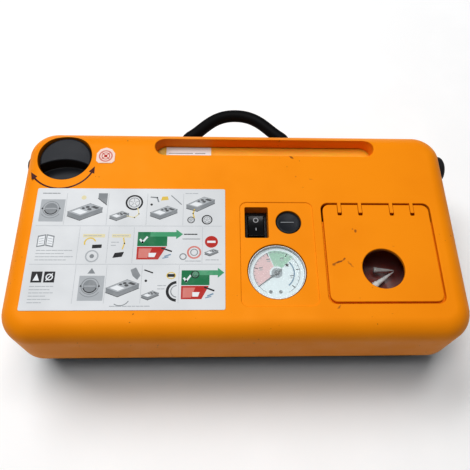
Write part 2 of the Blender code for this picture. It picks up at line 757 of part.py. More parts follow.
# ---------------------------------------------------------------- hose retainers
def make_retainers():
    """Turn-buttons on the side walls; a finger reaches down over the groove to hold the hose."""
    z = below_top(retainer_depth)
    for name, side, radius, height in retainer_sizes:
        face = side * (half_length + gap)
        pivot = (face, retainer_y, z)
        profile = [(0, height), (radius - 4 * MM, height - 0.4 * MM),
                   (radius - 1.5 * MM, height - 1.6 * MM), (radius, height - 3.6 * MM), (radius, 0),
                   (retainer_pin_radius + slide_gap, 0),
                   (retainer_pin_radius + slide_gap, 3 * MM), (0, 3 * MM)]
        boss = turned("hose_retainer_" + name, profile, pivot, BLACK, sides=24,
                      tilt=(0, side * math.pi / 2, 0))
        low_x = min(face, face + side * retainer_finger_thickness)
        high_x = max(face, face + side * retainer_finger_thickness)
        finger = box("retainer_finger_" + name,
                     (low_x, retainer_y - retainer_finger_width / 2, z - retainer_finger_length),
                     (high_x, retainer_y + retainer_finger_width / 2, z - 4 * MM), None, cutters)
        boolean(boss, finger, 'UNION')
        cylinder("retainer_pin_" + name, retainer_pin_radius,
                 (side * (half_length - 7 * MM), retainer_y, z),
                 (side * (half_length + gap + 3 * MM - slide_gap), retainer_y, z), STEEL, sides=12)


# ---------------------------------------------------------------- selector knob and valve
def make_selector():
    """A recessed knob with one finger scoop, on the spindle of the selector valve."""
    radius = knob_well_radius - 0.7 * MM
    top = below_top(knob_top_depth)
    bottom = below_top(knob_well_depth - slide_gap)
    spindle_end = below_top(valve_top_depth + 10 * MM)
    profile = [(0, top), (radius - 1 * MM, top), (radius, top - 1 * MM), (radius, bottom),
               (knob_spindle_radius, bottom), (knob_spindle_radius, spindle_end), (0, spindle_end)]
    knob = turned("selector_knob", profile, (knob_x, knob_y, 0), BLACK, sides=40)
    scoop = cylinder("knob_scoop", knob_scoop_radius,
                     (knob_x, knob_y - knob_scoop_offset - knob_scoop_radius,
                      below_top(knob_scoop_depth)),
                     (knob_x, knob_y - knob_scoop_offset - knob_scoop_radius, case_height + OVER),
                     None, cutters, 96)
    boolean(knob, scoop)

    bore = knob_spindle_radius + slide_gap
    valve_top = below_top(valve_top_depth)
    profile = [(bore, valve_top), (valve_radius, valve_top), (valve_radius, valve_top - valve_height),
               (0, valve_top - valve_height), (0, spindle_end - 2 * MM), (bore, spindle_end - 2 * MM),
               (bore, valve_top)]
    turned("selector_valve", profile, (knob_x, knob_y, 0), NYLON, sides=32)


# ---------------------------------------------------------------- sealant flask
def make_flask():
    """A flat blow-moulded flask under the sight slot, with its neck towards the valve."""
    top = below_top(flask_top_depth)
    low = (flask_left_x, flask_y - flask_depth / 2, top - flask_height)
    high = (flask_left_x + flask_length, flask_y + flask_depth / 2, top)
    flask = box("sealant_flask", low, high, FLASK, corner=6 * MM, steps=3, edges="all")
    neck_z = below_top(valve_port_depth)
    neck_end = flask_left_x - flask_neck_length
    neck = cylinder("flask_neck", flask_neck_radius, (neck_end, flask_y, neck_z),
                    (flask_left_x + 10 * MM, flask_y, neck_z), None, cutters, 24)
    boolean(flask, neck, 'UNION')
    cap_left = neck_end - flask_cap_length + 6 * MM
    inner = flask_neck_radius + slide_gap
    cap_skirt = neck_end + 6 * MM
    profile = [(0, 0), (flask_cap_radius, 0), (flask_cap_radius, cap_left - cap_skirt),
               (inner, cap_left - cap_skirt), (inner, cap_left - neck_end + gap),
               (0, cap_left - neck_end + gap)]
    turned("flask_cap", profile, (cap_left, flask_y, neck_z), NYLON, sides=24,
           tilt=(0, -math.pi / 2, 0))
    valve_side = knob_x + math.sqrt(valve_radius ** 2 - (flask_y - knob_y) ** 2)
    cylinder("sealant_tube", 3.5 * MM, (valve_side + gap * 2, flask_y, neck_z),
             (cap_left - gap, flask_y, neck_z), NYLON, sides=16)


# ---------------------------------------------------------------- rocker switch
def make_switch():
    """A standard snap-in rocker: bezel and body, and the rocker that tilts in it."""
    bezel_top = below_top(switch_sink)
    bezel_half = Vector((switch_pocket_width / 2 - gap, switch_pocket_depth / 2 - 0.5 * MM))
    pocket_floor = below_top(switch_sink + 1.5 * MM)
    body = box("switch_body", (switch_x - bezel_half.x, switch_y - bezel_half.y, pocket_floor + gap),
               (switch_x + bezel_half.x, switch_y + bezel_half.y, bezel_top), GLOSS_BLACK,
               corner=0.8 * MM, steps=2)
    block = box("switch_block",
                (switch_x - switch_body_width / 2, switch_y - switch_body_depth / 2,
                 bezel_top - 16 * MM),
                (switch_x + switch_body_width / 2, switch_y + switch_body_depth / 2,
                 bezel_top - 0.5 * MM), None, cutters)
    boolean(body, block, 'UNION')
    rocker_half_width = 5.2 * MM
    rocker_half_length = 8.2 * MM
    window = box("rocker_window",
                 (switch_x - rocker_half_width - gap, switch_y - rocker_half_length - 2 * gap,
                  bezel_top - 9 * MM),
                 (switch_x + rocker_half_width + gap, switch_y + rocker_half_length + 2 * gap,
                  bezel_top + OVER), None, cutters)
    boolean(body, window)

    pivot_drop = 2.2 * MM
    crest = 3.6 * MM
    valley = 2.4 * MM
    outline = [(-rocker_half_length, crest), (0, valley), (rocker_half_length, crest),
               (rocker_half_length, -0.4 * MM), (3 * MM, -4 * MM), (-3 * MM, -4 * MM),
               (-rocker_half_length, -0.4 * MM)]
    rocker = flat_shape("switch_rocker", [outline], 2 * rocker_half_width, (0, 0, 0), GLOSS_BLACK)
    rocker.data.transform(Matrix.Rotation(math.pi / 2, 4, 'Z') @ Matrix.Rotation(math.pi / 2, 4, 'X'))
    rocker.data.transform(Matrix.Rotation(math.radians(-rocker_swing / 2), 4, 'X'))
    rocker.location = (switch_x, switch_y, bezel_top - pivot_drop)


# ---------------------------------------------------------------- bleed button
def make_button():
    """Push button, its return spring and the bleed valve that it opens."""
    top = below_top(button_sink)
    cap_radius = button_hole_radius - 0.45 * MM
    flange_top = below_top(cover_wall + gap)
    flange_bottom = flange_top - 1.6 * MM
    cap_bottom = flange_bottom - 4 * MM
    stem_end = cap_bottom - 14 * MM
    profile = [(0, top), (cap_radius - 0.8 * MM, top), (cap_radius, top - 0.6 * MM),
               (cap_radius, flange_top), (9.6 * MM, flange_top), (9.6 * MM, flange_bottom),
               (6 * MM, flange_bottom), (6 * MM, cap_bottom), (2 * MM, cap_bottom),
               (2 * MM, stem_end), (0, stem_end)]
    turned("bleed_button", profile, (button_x, button_y, 0), BLACK, sides=32)
    valve_top = cap_bottom - 9.6 * MM
    bore = 2 * MM + slide_gap
    profile = [(bore, valve_top), (7 * MM, valve_top), (7 * MM, valve_top - 13 * MM),
               (0, valve_top - 13 * MM), (0, valve_top - 10 * MM), (bore, valve_top - 10 * MM),
               (bore, valve_top)]
    turned("bleed_valve", profile, (button_x, button_y, 0), BRASS, sides=24)
    turns = 5
    per_turn = 10
    wire = 0.45 * MM
    coil_radius = 4 * MM
    low = valve_top + gap + wire
    high = cap_bottom - gap - wire
    coil = []
    for i in range(turns * per_turn + 1):
        angle = 2 * math.pi * i / per_turn
        coil.append((button_x + coil_radius * math.cos(angle),
                     button_y + coil_radius * math.sin(angle),
                     low + (high - low) * i / (turns * per_turn)))
    tube("button_spring", coil, wire, STEEL, resolution=1)


# ---------------------------------------------------------------- pressure gauge
def make_gauge():
    """Case, dial, movement, needle and lens of the pressure gauge."""
    radius = gauge_hole_radius - slide_gap
    rim = below_top(1.5 * MM)
    bottom = below_top(15 * MM)
    inner = radius - 1 * MM
    profile = [(inner, rim), (radius, rim), (radius, bottom), (4 * MM, bottom),
               (4 * MM, bottom - 5 * MM), (0, bottom - 5 * MM), (0, bottom + 1 * MM),
               (inner, bottom + 1 * MM), (inner, rim)]
    turned("gauge_case", profile, (gauge_x, gauge_y, 0), STEEL, sides=40)
    disc = inner - gap
    dial_top = below_top(3.7 * MM)
    bore = 1.1 * MM
    profile = [(bore, dial_top), (disc, dial_top), (disc, dial_top - 0.5 * MM),
               (bore, dial_top - 0.5 * MM), (bore, dial_top)]
    turned("gauge_dial", profile, (gauge_x, gauge_y, 0), DIAL, sides=40)
    lens_top = below_top(1.7 * MM)
    profile = [(0, lens_top), (disc, lens_top), (disc, lens_top - 0.7 * MM), (0, lens_top - 0.7 * MM)]
    turned("gauge_lens", profile, (gauge_x, gauge_y, 0), LENS, sides=40)
    movement_top = dial_top - 0.5 * MM - gap
    profile = [(bore, movement_top), (9 * MM, movement_top), (9 * MM, movement_top - 6 * MM),
               (0, movement_top - 6 * MM), (0, movement_top - 4 * MM), (bore, movement_top - 4 * MM),
               (bore, movement_top)]
    turned("gauge_movement", profile, (gauge_x, gauge_y, 0), BRASS, sides=24)
    needle_low = dial_top + gap
    needle_high = needle_low + 0.35 * MM
    hub = 1.6 * MM
    profile = [(0, needle_high + 0.2 * MM), (hub, needle_high + 0.2 * MM), (hub, needle_low),
               (0.7 * MM, needle_low), (0.7 * MM, movement_top - 3 * MM),
               (0, movement_top - 3 * MM)]
    needle = turned("gauge_needle", profile, (gauge_x, gauge_y, 0), BLACK, sides=16)
    reach = 13 * MM
    pointer = flat_shape("needle_pointer",
                         [[(-4 * MM, -0.5 * MM), (reach, -0.2 * MM), (reach, 0.2 * MM),
                           (-4 * MM, 0.5 * MM)]], needle_high - needle_low,
                         (gauge_x, gauge_y, (needle_low + needle_high) / 2), None, cutters,
                         tilt=(0, 0, math.radians(gauge_rest_angle)))
    boolean(needle, pointer, 'UNION')


# ---------------------------------------------------------------- adaptor compartment
def make_compartment():
    """Tray, flap with its knuckles, hinge pins and the bag of adaptors."""
    left = flap_x - opening_width / 2
    right = flap_x + opening_width / 2
    tray_top = below_top(tray_top_depth)
    tray_low = below_top(tray_depth)
    tray = box("compartment_tray", (left - tray_wall, opening_front_y - tray_wall, tray_low),
               (right + tray_wall, opening_rear_y + tray_wall, tray_top), ORANGE,
               corner=flap_corner + tray_wall)
    hollow = box("tray_hollow", (left, opening_front_y, tray_low + tray_wall),
                 (right, opening_rear_y, tray_top + OVER), None, cutters, corner=flap_corner)
    boolean(tray, hollow)

    low_z = below_top(flap_thickness)
    flap = box("compartment_flap", (flap_x - flap_width / 2, flap_front_y, low_z),
               (flap_x + flap_width / 2, flap_rear_y, case_height), ORANGE, corner=flap_corner)
    boolean(flap, cylinder("finger_hole", finger_hole_radius, (flap_x, finger_hole_y, low_z - OVER),
                           (flap_x, finger_hole_y, case_height + OVER), None, cutters, 40))
    notch_half = lug_width / 2 + gap
    hinge_z = below_top(hinge_depth)
    for side, name in ((-1, "left"), (1, "right")):
        near = flap_x + side * (lug_inner_x + notch_half)
        far = flap_x + side * (lug_outer_x - notch_half)
        knuckle = cylinder("knuckle_" + name, hinge_radius - 0.05 * MM, (near, hinge_y, hinge_z),
                           (far, hinge_y, hinge_z), None, cutters, 16)
        boolean(flap, knuckle, 'UNION')
    for i, x in enumerate(hinge_lug_places()):
        boolean(flap, box("notch_%d" % i, (x - notch_half, notch_front_y, low_z - 4 * MM),
                          (x + notch_half, flap_rear_y + OVER, case_height + OVER), None, cutters))
    for side, name in ((-1, "left"), (1, "right")):
        start = flap_x + side * (lug_inner_x - lug_width / 2)
        end = flap_x + side * (lug_outer_x + lug_width / 2)
        boolean(flap, cylinder("knuckle_bore_" + name, hinge_pin_radius + gap,
                               (start, hinge_y, hinge_z), (end, hinge_y, hinge_z), None, cutters,
                               12))
        cylinder("hinge_pin_" + name, hinge_pin_radius, (start, hinge_y, hinge_z),
                 (end, hinge_y, hinge_z), STEEL, sides=12)
    set_origin(flap, (flap_x, hinge_y, hinge_z))
    floor = tray_low + tray_wall + gap
    box("adaptor_bag", (flap_x - 31 * MM, -50 * MM, floor), (flap_x + 31 * MM, 4 * MM, floor + 12 * MM),
        FILM, corner=5 * MM, steps=2, edges="all")


# ---------------------------------------------------------------- compressor
def gear_outline(teeth, first_angle):
    """Outline of a spur gear with straight-sided, slightly thinned teeth."""
    pitch = gear_module * teeth / 2
    tip = pitch + 0.8 * gear_module
    root = pitch - 1.15 * gear_module
    step = 2 * math.pi / teeth
    outline = []
    for i in range(teeth):
        middle = first_angle + i * step
        for share, radius in ((-0.30, root), (-0.11, tip), (0.11, tip), (0.30, root)):
            angle = middle + share * step
            outline.append((radius * math.cos(angle), radius * math.sin(angle)))
    return outline


def make_compressor():
    """Motor, reduction gear, crank, piston and cylinder on a pressed frame."""
    quarter = math.pi / 2
    motor = cylinder("motor", motor_radius, (motor_left_x, motor_y, motor_z),
                     (motor_right_x, motor_y, motor_z), STEEL, sides=32)
    boolean(motor, cylinder("motor_bore", 1.5 * MM + slide_gap, (motor_left_x - OVER, motor_y, motor_z),
                            (motor_left_x + 10 * MM, motor_y, motor_z), None, cutters, 12))

    pinion_first = quarter
    gear_first = -quarter + math.pi / gear_teeth
    upright = (quarter, 0, quarter)
    pinion = flat_shape("motor_pinion", [gear_outline(pinion_teeth, pinion_first)], gear_width,
                        ((gear_left_x + gear_right_x) / 2, motor_y, motor_z), STEEL, tilt=upright)
    boolean(pinion, cylinder("motor_shaft", 1.5 * MM, (gear_left_x + 1 * MM, motor_y, motor_z),
                             (motor_left_x + 9 * MM, motor_y, motor_z), None, cutters, 12), 'UNION')

    axle_radius = 3 * MM
    gear = flat_shape("crank_gear",
                      [gear_outline(gear_teeth, gear_first), circle(axle_radius + gap, 20)],
                      gear_width, ((gear_left_x + gear_right_x) / 2, motor_y, gear_z), NYLON,
                      tilt=upright)
    boolean(gear, cylinder("crank_pin", 2 * MM, (crank_pin_end_x, motor_y + crank_throw, gear_z),
                           (gear_left_x + 2 * MM, motor_y + crank_throw, gear_z), None, cutters, 16),
            'UNION')
    cylinder("gear_axle", axle_radius, (plate_right_x, motor_y, gear_z),
             (gear_left_x, motor_y, gear_z), STEEL, sides=20)

    frame = box("compressor_frame", (plate_left_x, cylinder_front_y, base_wall + gap),
                (plate_right_x, motor_y + 24 * MM, below_top(6 * MM)), ALUMINIUM)
    bracket_rear = cylinder_front_y + 8 * MM
    bracket = box("cylinder_bracket", (rod_x - cylinder_bore - cylinder_wall - 3 * MM,
                                       cylinder_front_y, base_wall + gap),
                  (plate_left_x + 0.5 * MM, bracket_rear, gear_z + 14 * MM), None, cutters)
    boolean(frame, bracket, 'UNION')
    boolean(frame, cylinder("cylinder_seat", cylinder_bore + cylinder_wall + gap,
                            (rod_x, cylinder_front_y - OVER, gear_z),
                            (rod_x, bracket_rear + OVER, gear_z), None, cutters, 32))
    boolean(frame, cylinder("shaft_hole", 3 * MM, (plate_left_x - OVER, motor_y, motor_z),
                            (plate_right_x + OVER, motor_y, motor_z), None, cutters, 16))
    boolean(frame, cylinder("axle_hole", axle_radius + gap, (plate_left_x - OVER, motor_y, gear_z),
                            (plate_right_x + OVER, motor_y, gear_z), None, cutters, 20))

    profile = [(cylinder_bore, 0), (cylinder_bore + cylinder_wall, 0),
               (cylinder_bore + cylinder_wall, -cylinder_length), (cylinder_bore, -cylinder_length),
               (cylinder_bore, 0)]
    turned("compressor_cylinder", profile, (rod_x, cylinder_rear_y, gear_z), ALUMINIUM, sides=32,
           tilt=(-quarter, 0, 0))
    head_rear = cylinder_front_y - gap
    head = cylinder("cylinder_head", cylinder_bore + cylinder_wall + 1 * MM,
                    (rod_x, head_rear - 9 * MM, gear_z), (rod_x, head_rear, gear_z), ALUMINIUM,
                    sides=32)
    nozzle_y = head_rear - 4.5 * MM
    boolean(head, cylinder("head_nozzle", 2.4 * MM, (rod_x - 18 * MM, nozzle_y, gear_z),
                           (rod_x, nozzle_y, gear_z), None, cutters, 12), 'UNION')

    cylinder("piston", cylinder_bore - slide_gap, (rod_x, piston_rear_y - piston_length, gear_z),
             (rod_x, piston_rear_y, gear_z), ALUMINIUM, sides=32)
    arm_start = piston_rear_y + gap
    eye = 5.5 * MM
    rod = cylinder("connecting_rod", eye, (rod_x - rod_thickness / 2, rod_eye_y, gear_z),
                   (rod_x + rod_thickness / 2, rod_eye_y, gear_z), ALUMINIUM, sides=24)
    arm = box("rod_arm", (rod_x - rod_thickness / 2 + 0.2 * MM, arm_start, gear_z - 3 * MM),
              (rod_x + rod_thickness / 2 - 0.2 * MM, rod_eye_y - 2 * MM, gear_z + 3 * MM), None,
              cutters)
    boolean(rod, arm, 'UNION')
    boolean(rod, cylinder("rod_eye", 2 * MM + slide_gap, (rod_x - 6 * MM, rod_eye_y, gear_z),
                          (rod_x + 6 * MM, rod_eye_y, gear_z), None, cutters, 16))

    port_z = below_top(valve_port_depth)
    start_x = rod_x - 18 * MM - 2 * gap
    lane_x = -111 * MM
    anchors = [(start_x, nozzle_y, gear_z), (start_x - 5 * MM, nozzle_y, gear_z),
               (lane_x + 3 * MM, nozzle_y + 7 * MM, gear_z), (lane_x, nozzle_y + 24 * MM, gear_z),
               (lane_x, -4 * MM, (gear_z + port_z) / 2), (lane_x - 3 * MM, 12 * MM, port_z),
               (knob_x, 26 * MM, port_z), (knob_x, knob_y - valve_radius - gap, port_z)]
    tube("pump_hose", smooth_route(anchors, 3), 2.4 * MM, RUBBER, resolution=1)
    gauge_low = below_top(20 * MM)
    anchors = [(rod_x + 14 * MM + 2 * gap, nozzle_y, gear_z),
               (rod_x + 26 * MM, nozzle_y, gear_z), (-20 * MM, nozzle_y + 4 * MM, 46 * MM),
               (8 * MM, gauge_y - 4 * MM, 42 * MM), (gauge_x - 3 * MM, gauge_y, 45 * MM),
               (gauge_x, gauge_y, 51 * MM), (gauge_x, gauge_y, gauge_low - gap)]
    tube("gauge_tube", smooth_route(anchors, 3), 1.6 * MM, RUBBER, resolution=1)


# ---------------------------------------------------------------- labels
def make_labels():
    """The pictogram label and the small position sticker, both thin vinyl."""
    low_z = case_height + label_lift
    box("instruction_label", (label_x - label_width / 2, label_y - label_depth / 2, low_z),
        (label_x + label_width / 2, label_y + label_depth / 2, low_z + label_thickness), PAPER,
        corner=1 * MM, steps=2)
    cylinder("position_sticker", sticker_size / 2, (sticker_x, sticker_y, low_z),
             (sticker_x, sticker_y, low_z + label_thickness), PAPER, sides=24)


make_top_cover()
make_base_shell()
make_fasteners_and_pads()
make_air_hose()
make_carry_handle()
make_retainers()
make_selector()
make_flask()
make_switch()
make_button()
make_gauge()
make_compartment()
make_compressor()
make_labels()
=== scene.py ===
"""Looks of a tyre inflator and sealant kit in a flat orange case.

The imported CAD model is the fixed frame. Lengths are in metres, written as millimetres times MM;
profiles passed through mm() and printed shapes are in millimetres. The visible pieces are rebuilt
here with finer meshes; the other CAD pieces keep their shape and get a procedural material.
"""
import json
import random
from math import cos, hypot, pi, radians, sin

import bmesh
import bpy
from mathutils import Matrix, Vector, noise


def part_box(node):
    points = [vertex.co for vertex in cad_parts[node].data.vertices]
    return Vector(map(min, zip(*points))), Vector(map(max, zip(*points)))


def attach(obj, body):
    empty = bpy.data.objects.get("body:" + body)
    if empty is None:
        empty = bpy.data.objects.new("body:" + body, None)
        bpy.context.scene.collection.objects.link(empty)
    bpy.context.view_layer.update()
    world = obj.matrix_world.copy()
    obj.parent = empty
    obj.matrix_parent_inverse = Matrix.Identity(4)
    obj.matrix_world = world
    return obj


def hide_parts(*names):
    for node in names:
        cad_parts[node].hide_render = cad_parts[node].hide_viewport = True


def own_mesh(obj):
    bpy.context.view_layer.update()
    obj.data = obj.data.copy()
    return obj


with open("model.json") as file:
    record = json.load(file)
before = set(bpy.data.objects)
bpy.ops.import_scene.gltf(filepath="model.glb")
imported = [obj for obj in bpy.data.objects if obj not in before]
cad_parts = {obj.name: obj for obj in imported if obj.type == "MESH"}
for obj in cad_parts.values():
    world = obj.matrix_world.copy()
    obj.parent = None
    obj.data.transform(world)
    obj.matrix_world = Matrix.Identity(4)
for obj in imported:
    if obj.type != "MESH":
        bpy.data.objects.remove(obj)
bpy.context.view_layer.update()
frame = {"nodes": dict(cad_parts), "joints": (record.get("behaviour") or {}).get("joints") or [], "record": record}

MM = 0.001
SEED = 7


# ---------------------------------------------------------------- places taken from the frame
def corners(name):
    """Lowest and highest corner of a CAD node's box."""
    low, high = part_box(name)
    return Vector(low), Vector(high)


def middle(name):
    """Middle of a CAD node's box."""
    low, high = corners(name)
    return (low + high) / 2


def extent(name):
    """Size of a CAD node's box."""
    low, high = corners(name)
    return high - low


cover_low, cover_high = corners("top_cover")
TOP = cover_high.z
SPLIT = cover_low.z
half_length = cover_high.x
half_depth = cover_high.y
knob_middle = middle("selector_knob")
knob_radius = extent("selector_knob").x / 2
gauge_middle = middle("gauge_dial")
button_middle = middle("bleed_button")
switch_middle = middle("switch_body")
flap_low, flap_high = corners("compartment_flap")
flap_x = (flap_low.x + flap_high.x) / 2
joint_place = {joint["name"]: Vector(joint["pos_m"]) for joint in frame["joints"]
               if "pos_m" in joint}

# sizes of the cover, as in the CAD model
edge_radius = 12.5 * MM
rear_edge_radius = 18 * MM
plan_corner = 20 * MM
cover_wall = 2.5 * MM
well_radius = knob_radius + 0.7 * MM
well_depth = 17.8 * MM
slot_middle = Vector((19.3 * MM, 61 * MM))
slot_length = 156 * MM
slot_width = 15 * MM
slot_depth = 11.7 * MM
panel_middle = Vector((24.8 * MM, -21.5 * MM))
panel_size = Vector((48.8 * MM, 73.6 * MM))
panel_sink = 0.6 * MM
panel_top = TOP - panel_sink
flap_gap = 1.2 * MM
skirt_depth = 4.9 * MM
lug_offsets = (-24.9 * MM, -10.75 * MM, 10.75 * MM, 24.9 * MM)
lug_width = 2.3 * MM
COLLAR_WALL = 1.9 * MM     # round the wells and openings, under the cover
GAUGE_HOLE = 19 * MM
BUTTON_HOLE = 8.55 * MM
LEDGE_WIDTH = 2.6 * MM     # the ledge under the flap's front and side edges
LEDGE_THICKNESS = 1.2 * MM
LEDGE_REAR = 2 * MM
FINGER_HOLE = 13.8 * MM
FINGER_HOLE_Y = -33 * MM
CORNER_STEPS = 14
OVER = 2 * MM              # how far a cutter stands out of the face it cuts
SHARP = 38                 # edges sharper than this many degrees stay sharp


# ---------------------------------------------------------------- camera
camera_place = Vector((-13.64 * MM, -172.78 * MM, TOP + 328.1 * MM))
camera_pitch = radians(62.80)   # below the horizontal
camera_yaw = radians(-6.43)
camera_roll = radians(5.88)
camera_lens = 42.93
camera_shift = (-0.0270, -0.0120)


def add_camera():
    """The camera at the photograph's viewing angle."""
    data = bpy.data.cameras.new("camera")
    data.lens = camera_lens
    data.sensor_width = 36.0
    data.shift_x, data.shift_y = camera_shift
    data.clip_start = 0.01
    data.clip_end = 20.0
    camera = bpy.data.objects.new("camera", data)
    bpy.context.scene.collection.objects.link(camera)
    tilt = Matrix.Rotation(pi / 2 - camera_pitch, 4, 'X')
    turn = Matrix.Rotation(camera_yaw, 4, 'Z')
    roll = Matrix.Rotation(camera_roll, 4, 'Z')
    camera.matrix_world = Matrix.Translation(camera_place) @ turn @ tilt @ roll
    bpy.context.scene.camera = camera


# ---------------------------------------------------------------- material helpers
def feed(tree, socket, value):
    """Set an input's value, or link it from another socket."""
    if isinstance(value, bpy.types.NodeSocket):
        tree.links.new(value, socket)
    else:
        socket.default_value = value


def node(tree, kind, inputs=None, **settings):
    """A shader node with its settings and inputs."""
    made = tree.nodes.new(kind)
    for key, value in settings.items():
        setattr(made, key, value)
    for key, value in (inputs or {}).items():
        feed(tree, made.inputs[key], value)
    return made


def new_material(name):
    """A material with its tree, shader and object coordinates."""
    made = bpy.data.materials.new(name)
    made.use_nodes = True
    tree = made.node_tree
    shader = tree.nodes["Principled BSDF"]
    place = node(tree, "ShaderNodeTexCoord").outputs["Object"]
    return made, tree, shader, place


def rgba(colour):
    """A colour with full alpha."""
    return (*colour, 1.0)


def mixed(tree, factor, first, second):
    """Mix two colours; returns the colour socket."""
    return node(tree, "ShaderNodeMix", {0: factor, 6: first, 7: second},
                data_type='RGBA').outputs[2]


def spread(tree, value, low, high, first=0.0, last=1.0, **settings):
    """Map the part of a value between low and high to the range from first to last."""
    return node(tree, "ShaderNodeMapRange",
                {"Value": value, "From Min": low, "From Max": high, "To Min": first,
                 "To Max": last}, **settings).outputs["Result"]


def ramp(tree, value, low, high):
    """Stretch the part of a value between low and high smoothly over 0 to 1."""
    return spread(tree, value, low, high, interpolation_type='SMOOTHSTEP')


def maths(tree, operation, first, second):
    """The result of a math node."""
    return node(tree, "ShaderNodeMath", {0: first, 1: second}, operation=operation).outputs[0]


def vector_maths(tree, operation, inputs, output="Vector"):
    """The result of a vector math node."""
    return node(tree, "ShaderNodeVectorMath", inputs, operation=operation).outputs[output]


def fractal(tree, place, scale, detail=3.0):
    """A noise value."""
    return node(tree, "ShaderNodeTexNoise", {"Vector": place, "Scale": scale, "Detail": detail,
                                             "Roughness": 0.55}).outputs["Fac"]


def finish(tree, shader, colour, roughness, height, depth, strength):
    """Feed colour, roughness and bump into a shader."""
    feed(tree, shader.inputs["Base Color"], colour)
    feed(tree, shader.inputs["Roughness"], roughness)
    bump = node(tree, "ShaderNodeBump", {"Height": height, "Strength": strength,
                                         "Distance": depth})
    feed(tree, shader.inputs["Normal"], bump.outputs["Normal"])


def moulded(name, colour, tint, roughness, grain=2200.0, depth=0.04 * MM, specks=0.0,
            speck_colour=(0.05, 0.02, 0.01), specular=0.4):
    """Moulded plastic: spark-eroded grain, faint flow clouds, uneven gloss and stray specks."""
    made, tree, shader, place = new_material(name)
    clouds = fractal(tree, place, 14.0)
    base = mixed(tree, ramp(tree, clouds, 0.35, 0.7), rgba(colour), rgba(tint))
    if specks > 0:
        dots = ramp(tree, fractal(tree, place, 420.0, 1.0), 0.735, 0.79)
        patches = ramp(tree, fractal(tree, place, 22.0, 1.0), 0.5, 0.62)
        spots = maths(tree, 'MULTIPLY', maths(tree, 'MULTIPLY', dots, patches), specks)
        base = mixed(tree, spots, base, rgba(speck_colour))
    gloss = spread(tree, fractal(tree, place, 55.0, 4.0), 0.3, 0.7, roughness - 0.05,
                   roughness + 0.07)
    finish(tree, shader, base, gloss, fractal(tree, place, grain, 2.0), depth, 0.45)
    shader.inputs["Specular IOR Level"].default_value = specular
    return made


def metal(name, colour, roughness, stretch=(1.0, 1.0, 1.0), scale=900.0):
    """Metal with drawn or cast grain, by how the noise is stretched."""
    made, tree, shader, place = new_material(name)
    lines = node(tree, "ShaderNodeMapping", {"Vector": place, "Scale": stretch}).outputs["Vector"]
    grain = fractal(tree, lines, scale)
    shade = mixed(tree, ramp(tree, fractal(tree, place, 60.0), 0.3, 0.75), rgba(colour),
                  rgba([channel * 0.72 for channel in colour]))
    gloss = spread(tree, grain, 0.0, 1.0, roughness - 0.08, roughness + 0.12)
    finish(tree, shader, shade, gloss, grain, 0.03 * MM, 0.35)
    shader.inputs["Metallic"].default_value = 1.0
    return made


def ink(name, colour, wear):
    """Printed ink, slightly faded in places."""
    made, tree, shader, place = new_material(name)
    faded = [channel + (0.7 - channel) * wear * 2 for channel in colour]
    shade = mixed(tree, ramp(tree, fractal(tree, place, 130.0, 4.0), 0.42, 0.72), rgba(colour),
                  rgba(faded))
    finish(tree, shader, shade, 0.45, fractal(tree, place, 900.0), 0.01 * MM, 0.3)
    shader.inputs["Specular IOR Level"].default_value = 0.12
    return made


def clear(name, roughness, ripple, scale, flat_share, edge_share):
    """Clear plastic: see-through where it faces the eye, shiny towards its edges and creases."""
    made, tree, shader, place = new_material(name)
    finish(tree, shader, rgba((0.93, 0.95, 0.96)), roughness, fractal(tree, place, scale), ripple,
           0.6)
    through = node(tree, "ShaderNodeBsdfTransparent", {"Color": (0.94, 0.96, 0.96, 1.0)})
    facing = node(tree, "ShaderNodeLayerWeight", {"Blend": 0.32}).outputs["Facing"]
    share = spread(tree, facing, 0.0, 1.0, flat_share, edge_share)
    both = node(tree, "ShaderNodeMixShader", {0: share, 1: through.outputs[0],
                                              2: shader.outputs["BSDF"]})
    tree.links.new(both.outputs[0], tree.nodes["Material Output"].inputs["Surface"])
    return made


# scuffs on the cover: place, half length and half width in millimetres, turn, strength
SCUFFS = (
    ((63.6, -28.6), 5.0, 0.85, 22, 0.9), ((67.4, -26.6), 1.5, 0.9, 40, 0.85),
    ((60.2, -30.2), 1.6, 0.9, 10, 0.7), ((71.0, -30.2), 3.0, 0.7, -45, 0.5),
    ((77.0, -6.3), 1.0, 1.3, 0, 0.8), ((75.4, -4.6), 0.7, 0.7, 0, 0.45),
    ((60.8, -58.9), 2.2, 0.6, 60, 0.6), ((37.2, 52.2), 2.4, 0.7, -32, 0.9),
    ((-78.5, 65.6), 0.9, 0.6, 0, 0.7), ((39.5, 36.0), 1.1, 0.6, 30, 0.35),
    ((50.0, 34.0), 1.6, 0.4, -20, 0.22), ((100.5, -17.0), 0.8, 0.5, 15, 0.3),
)


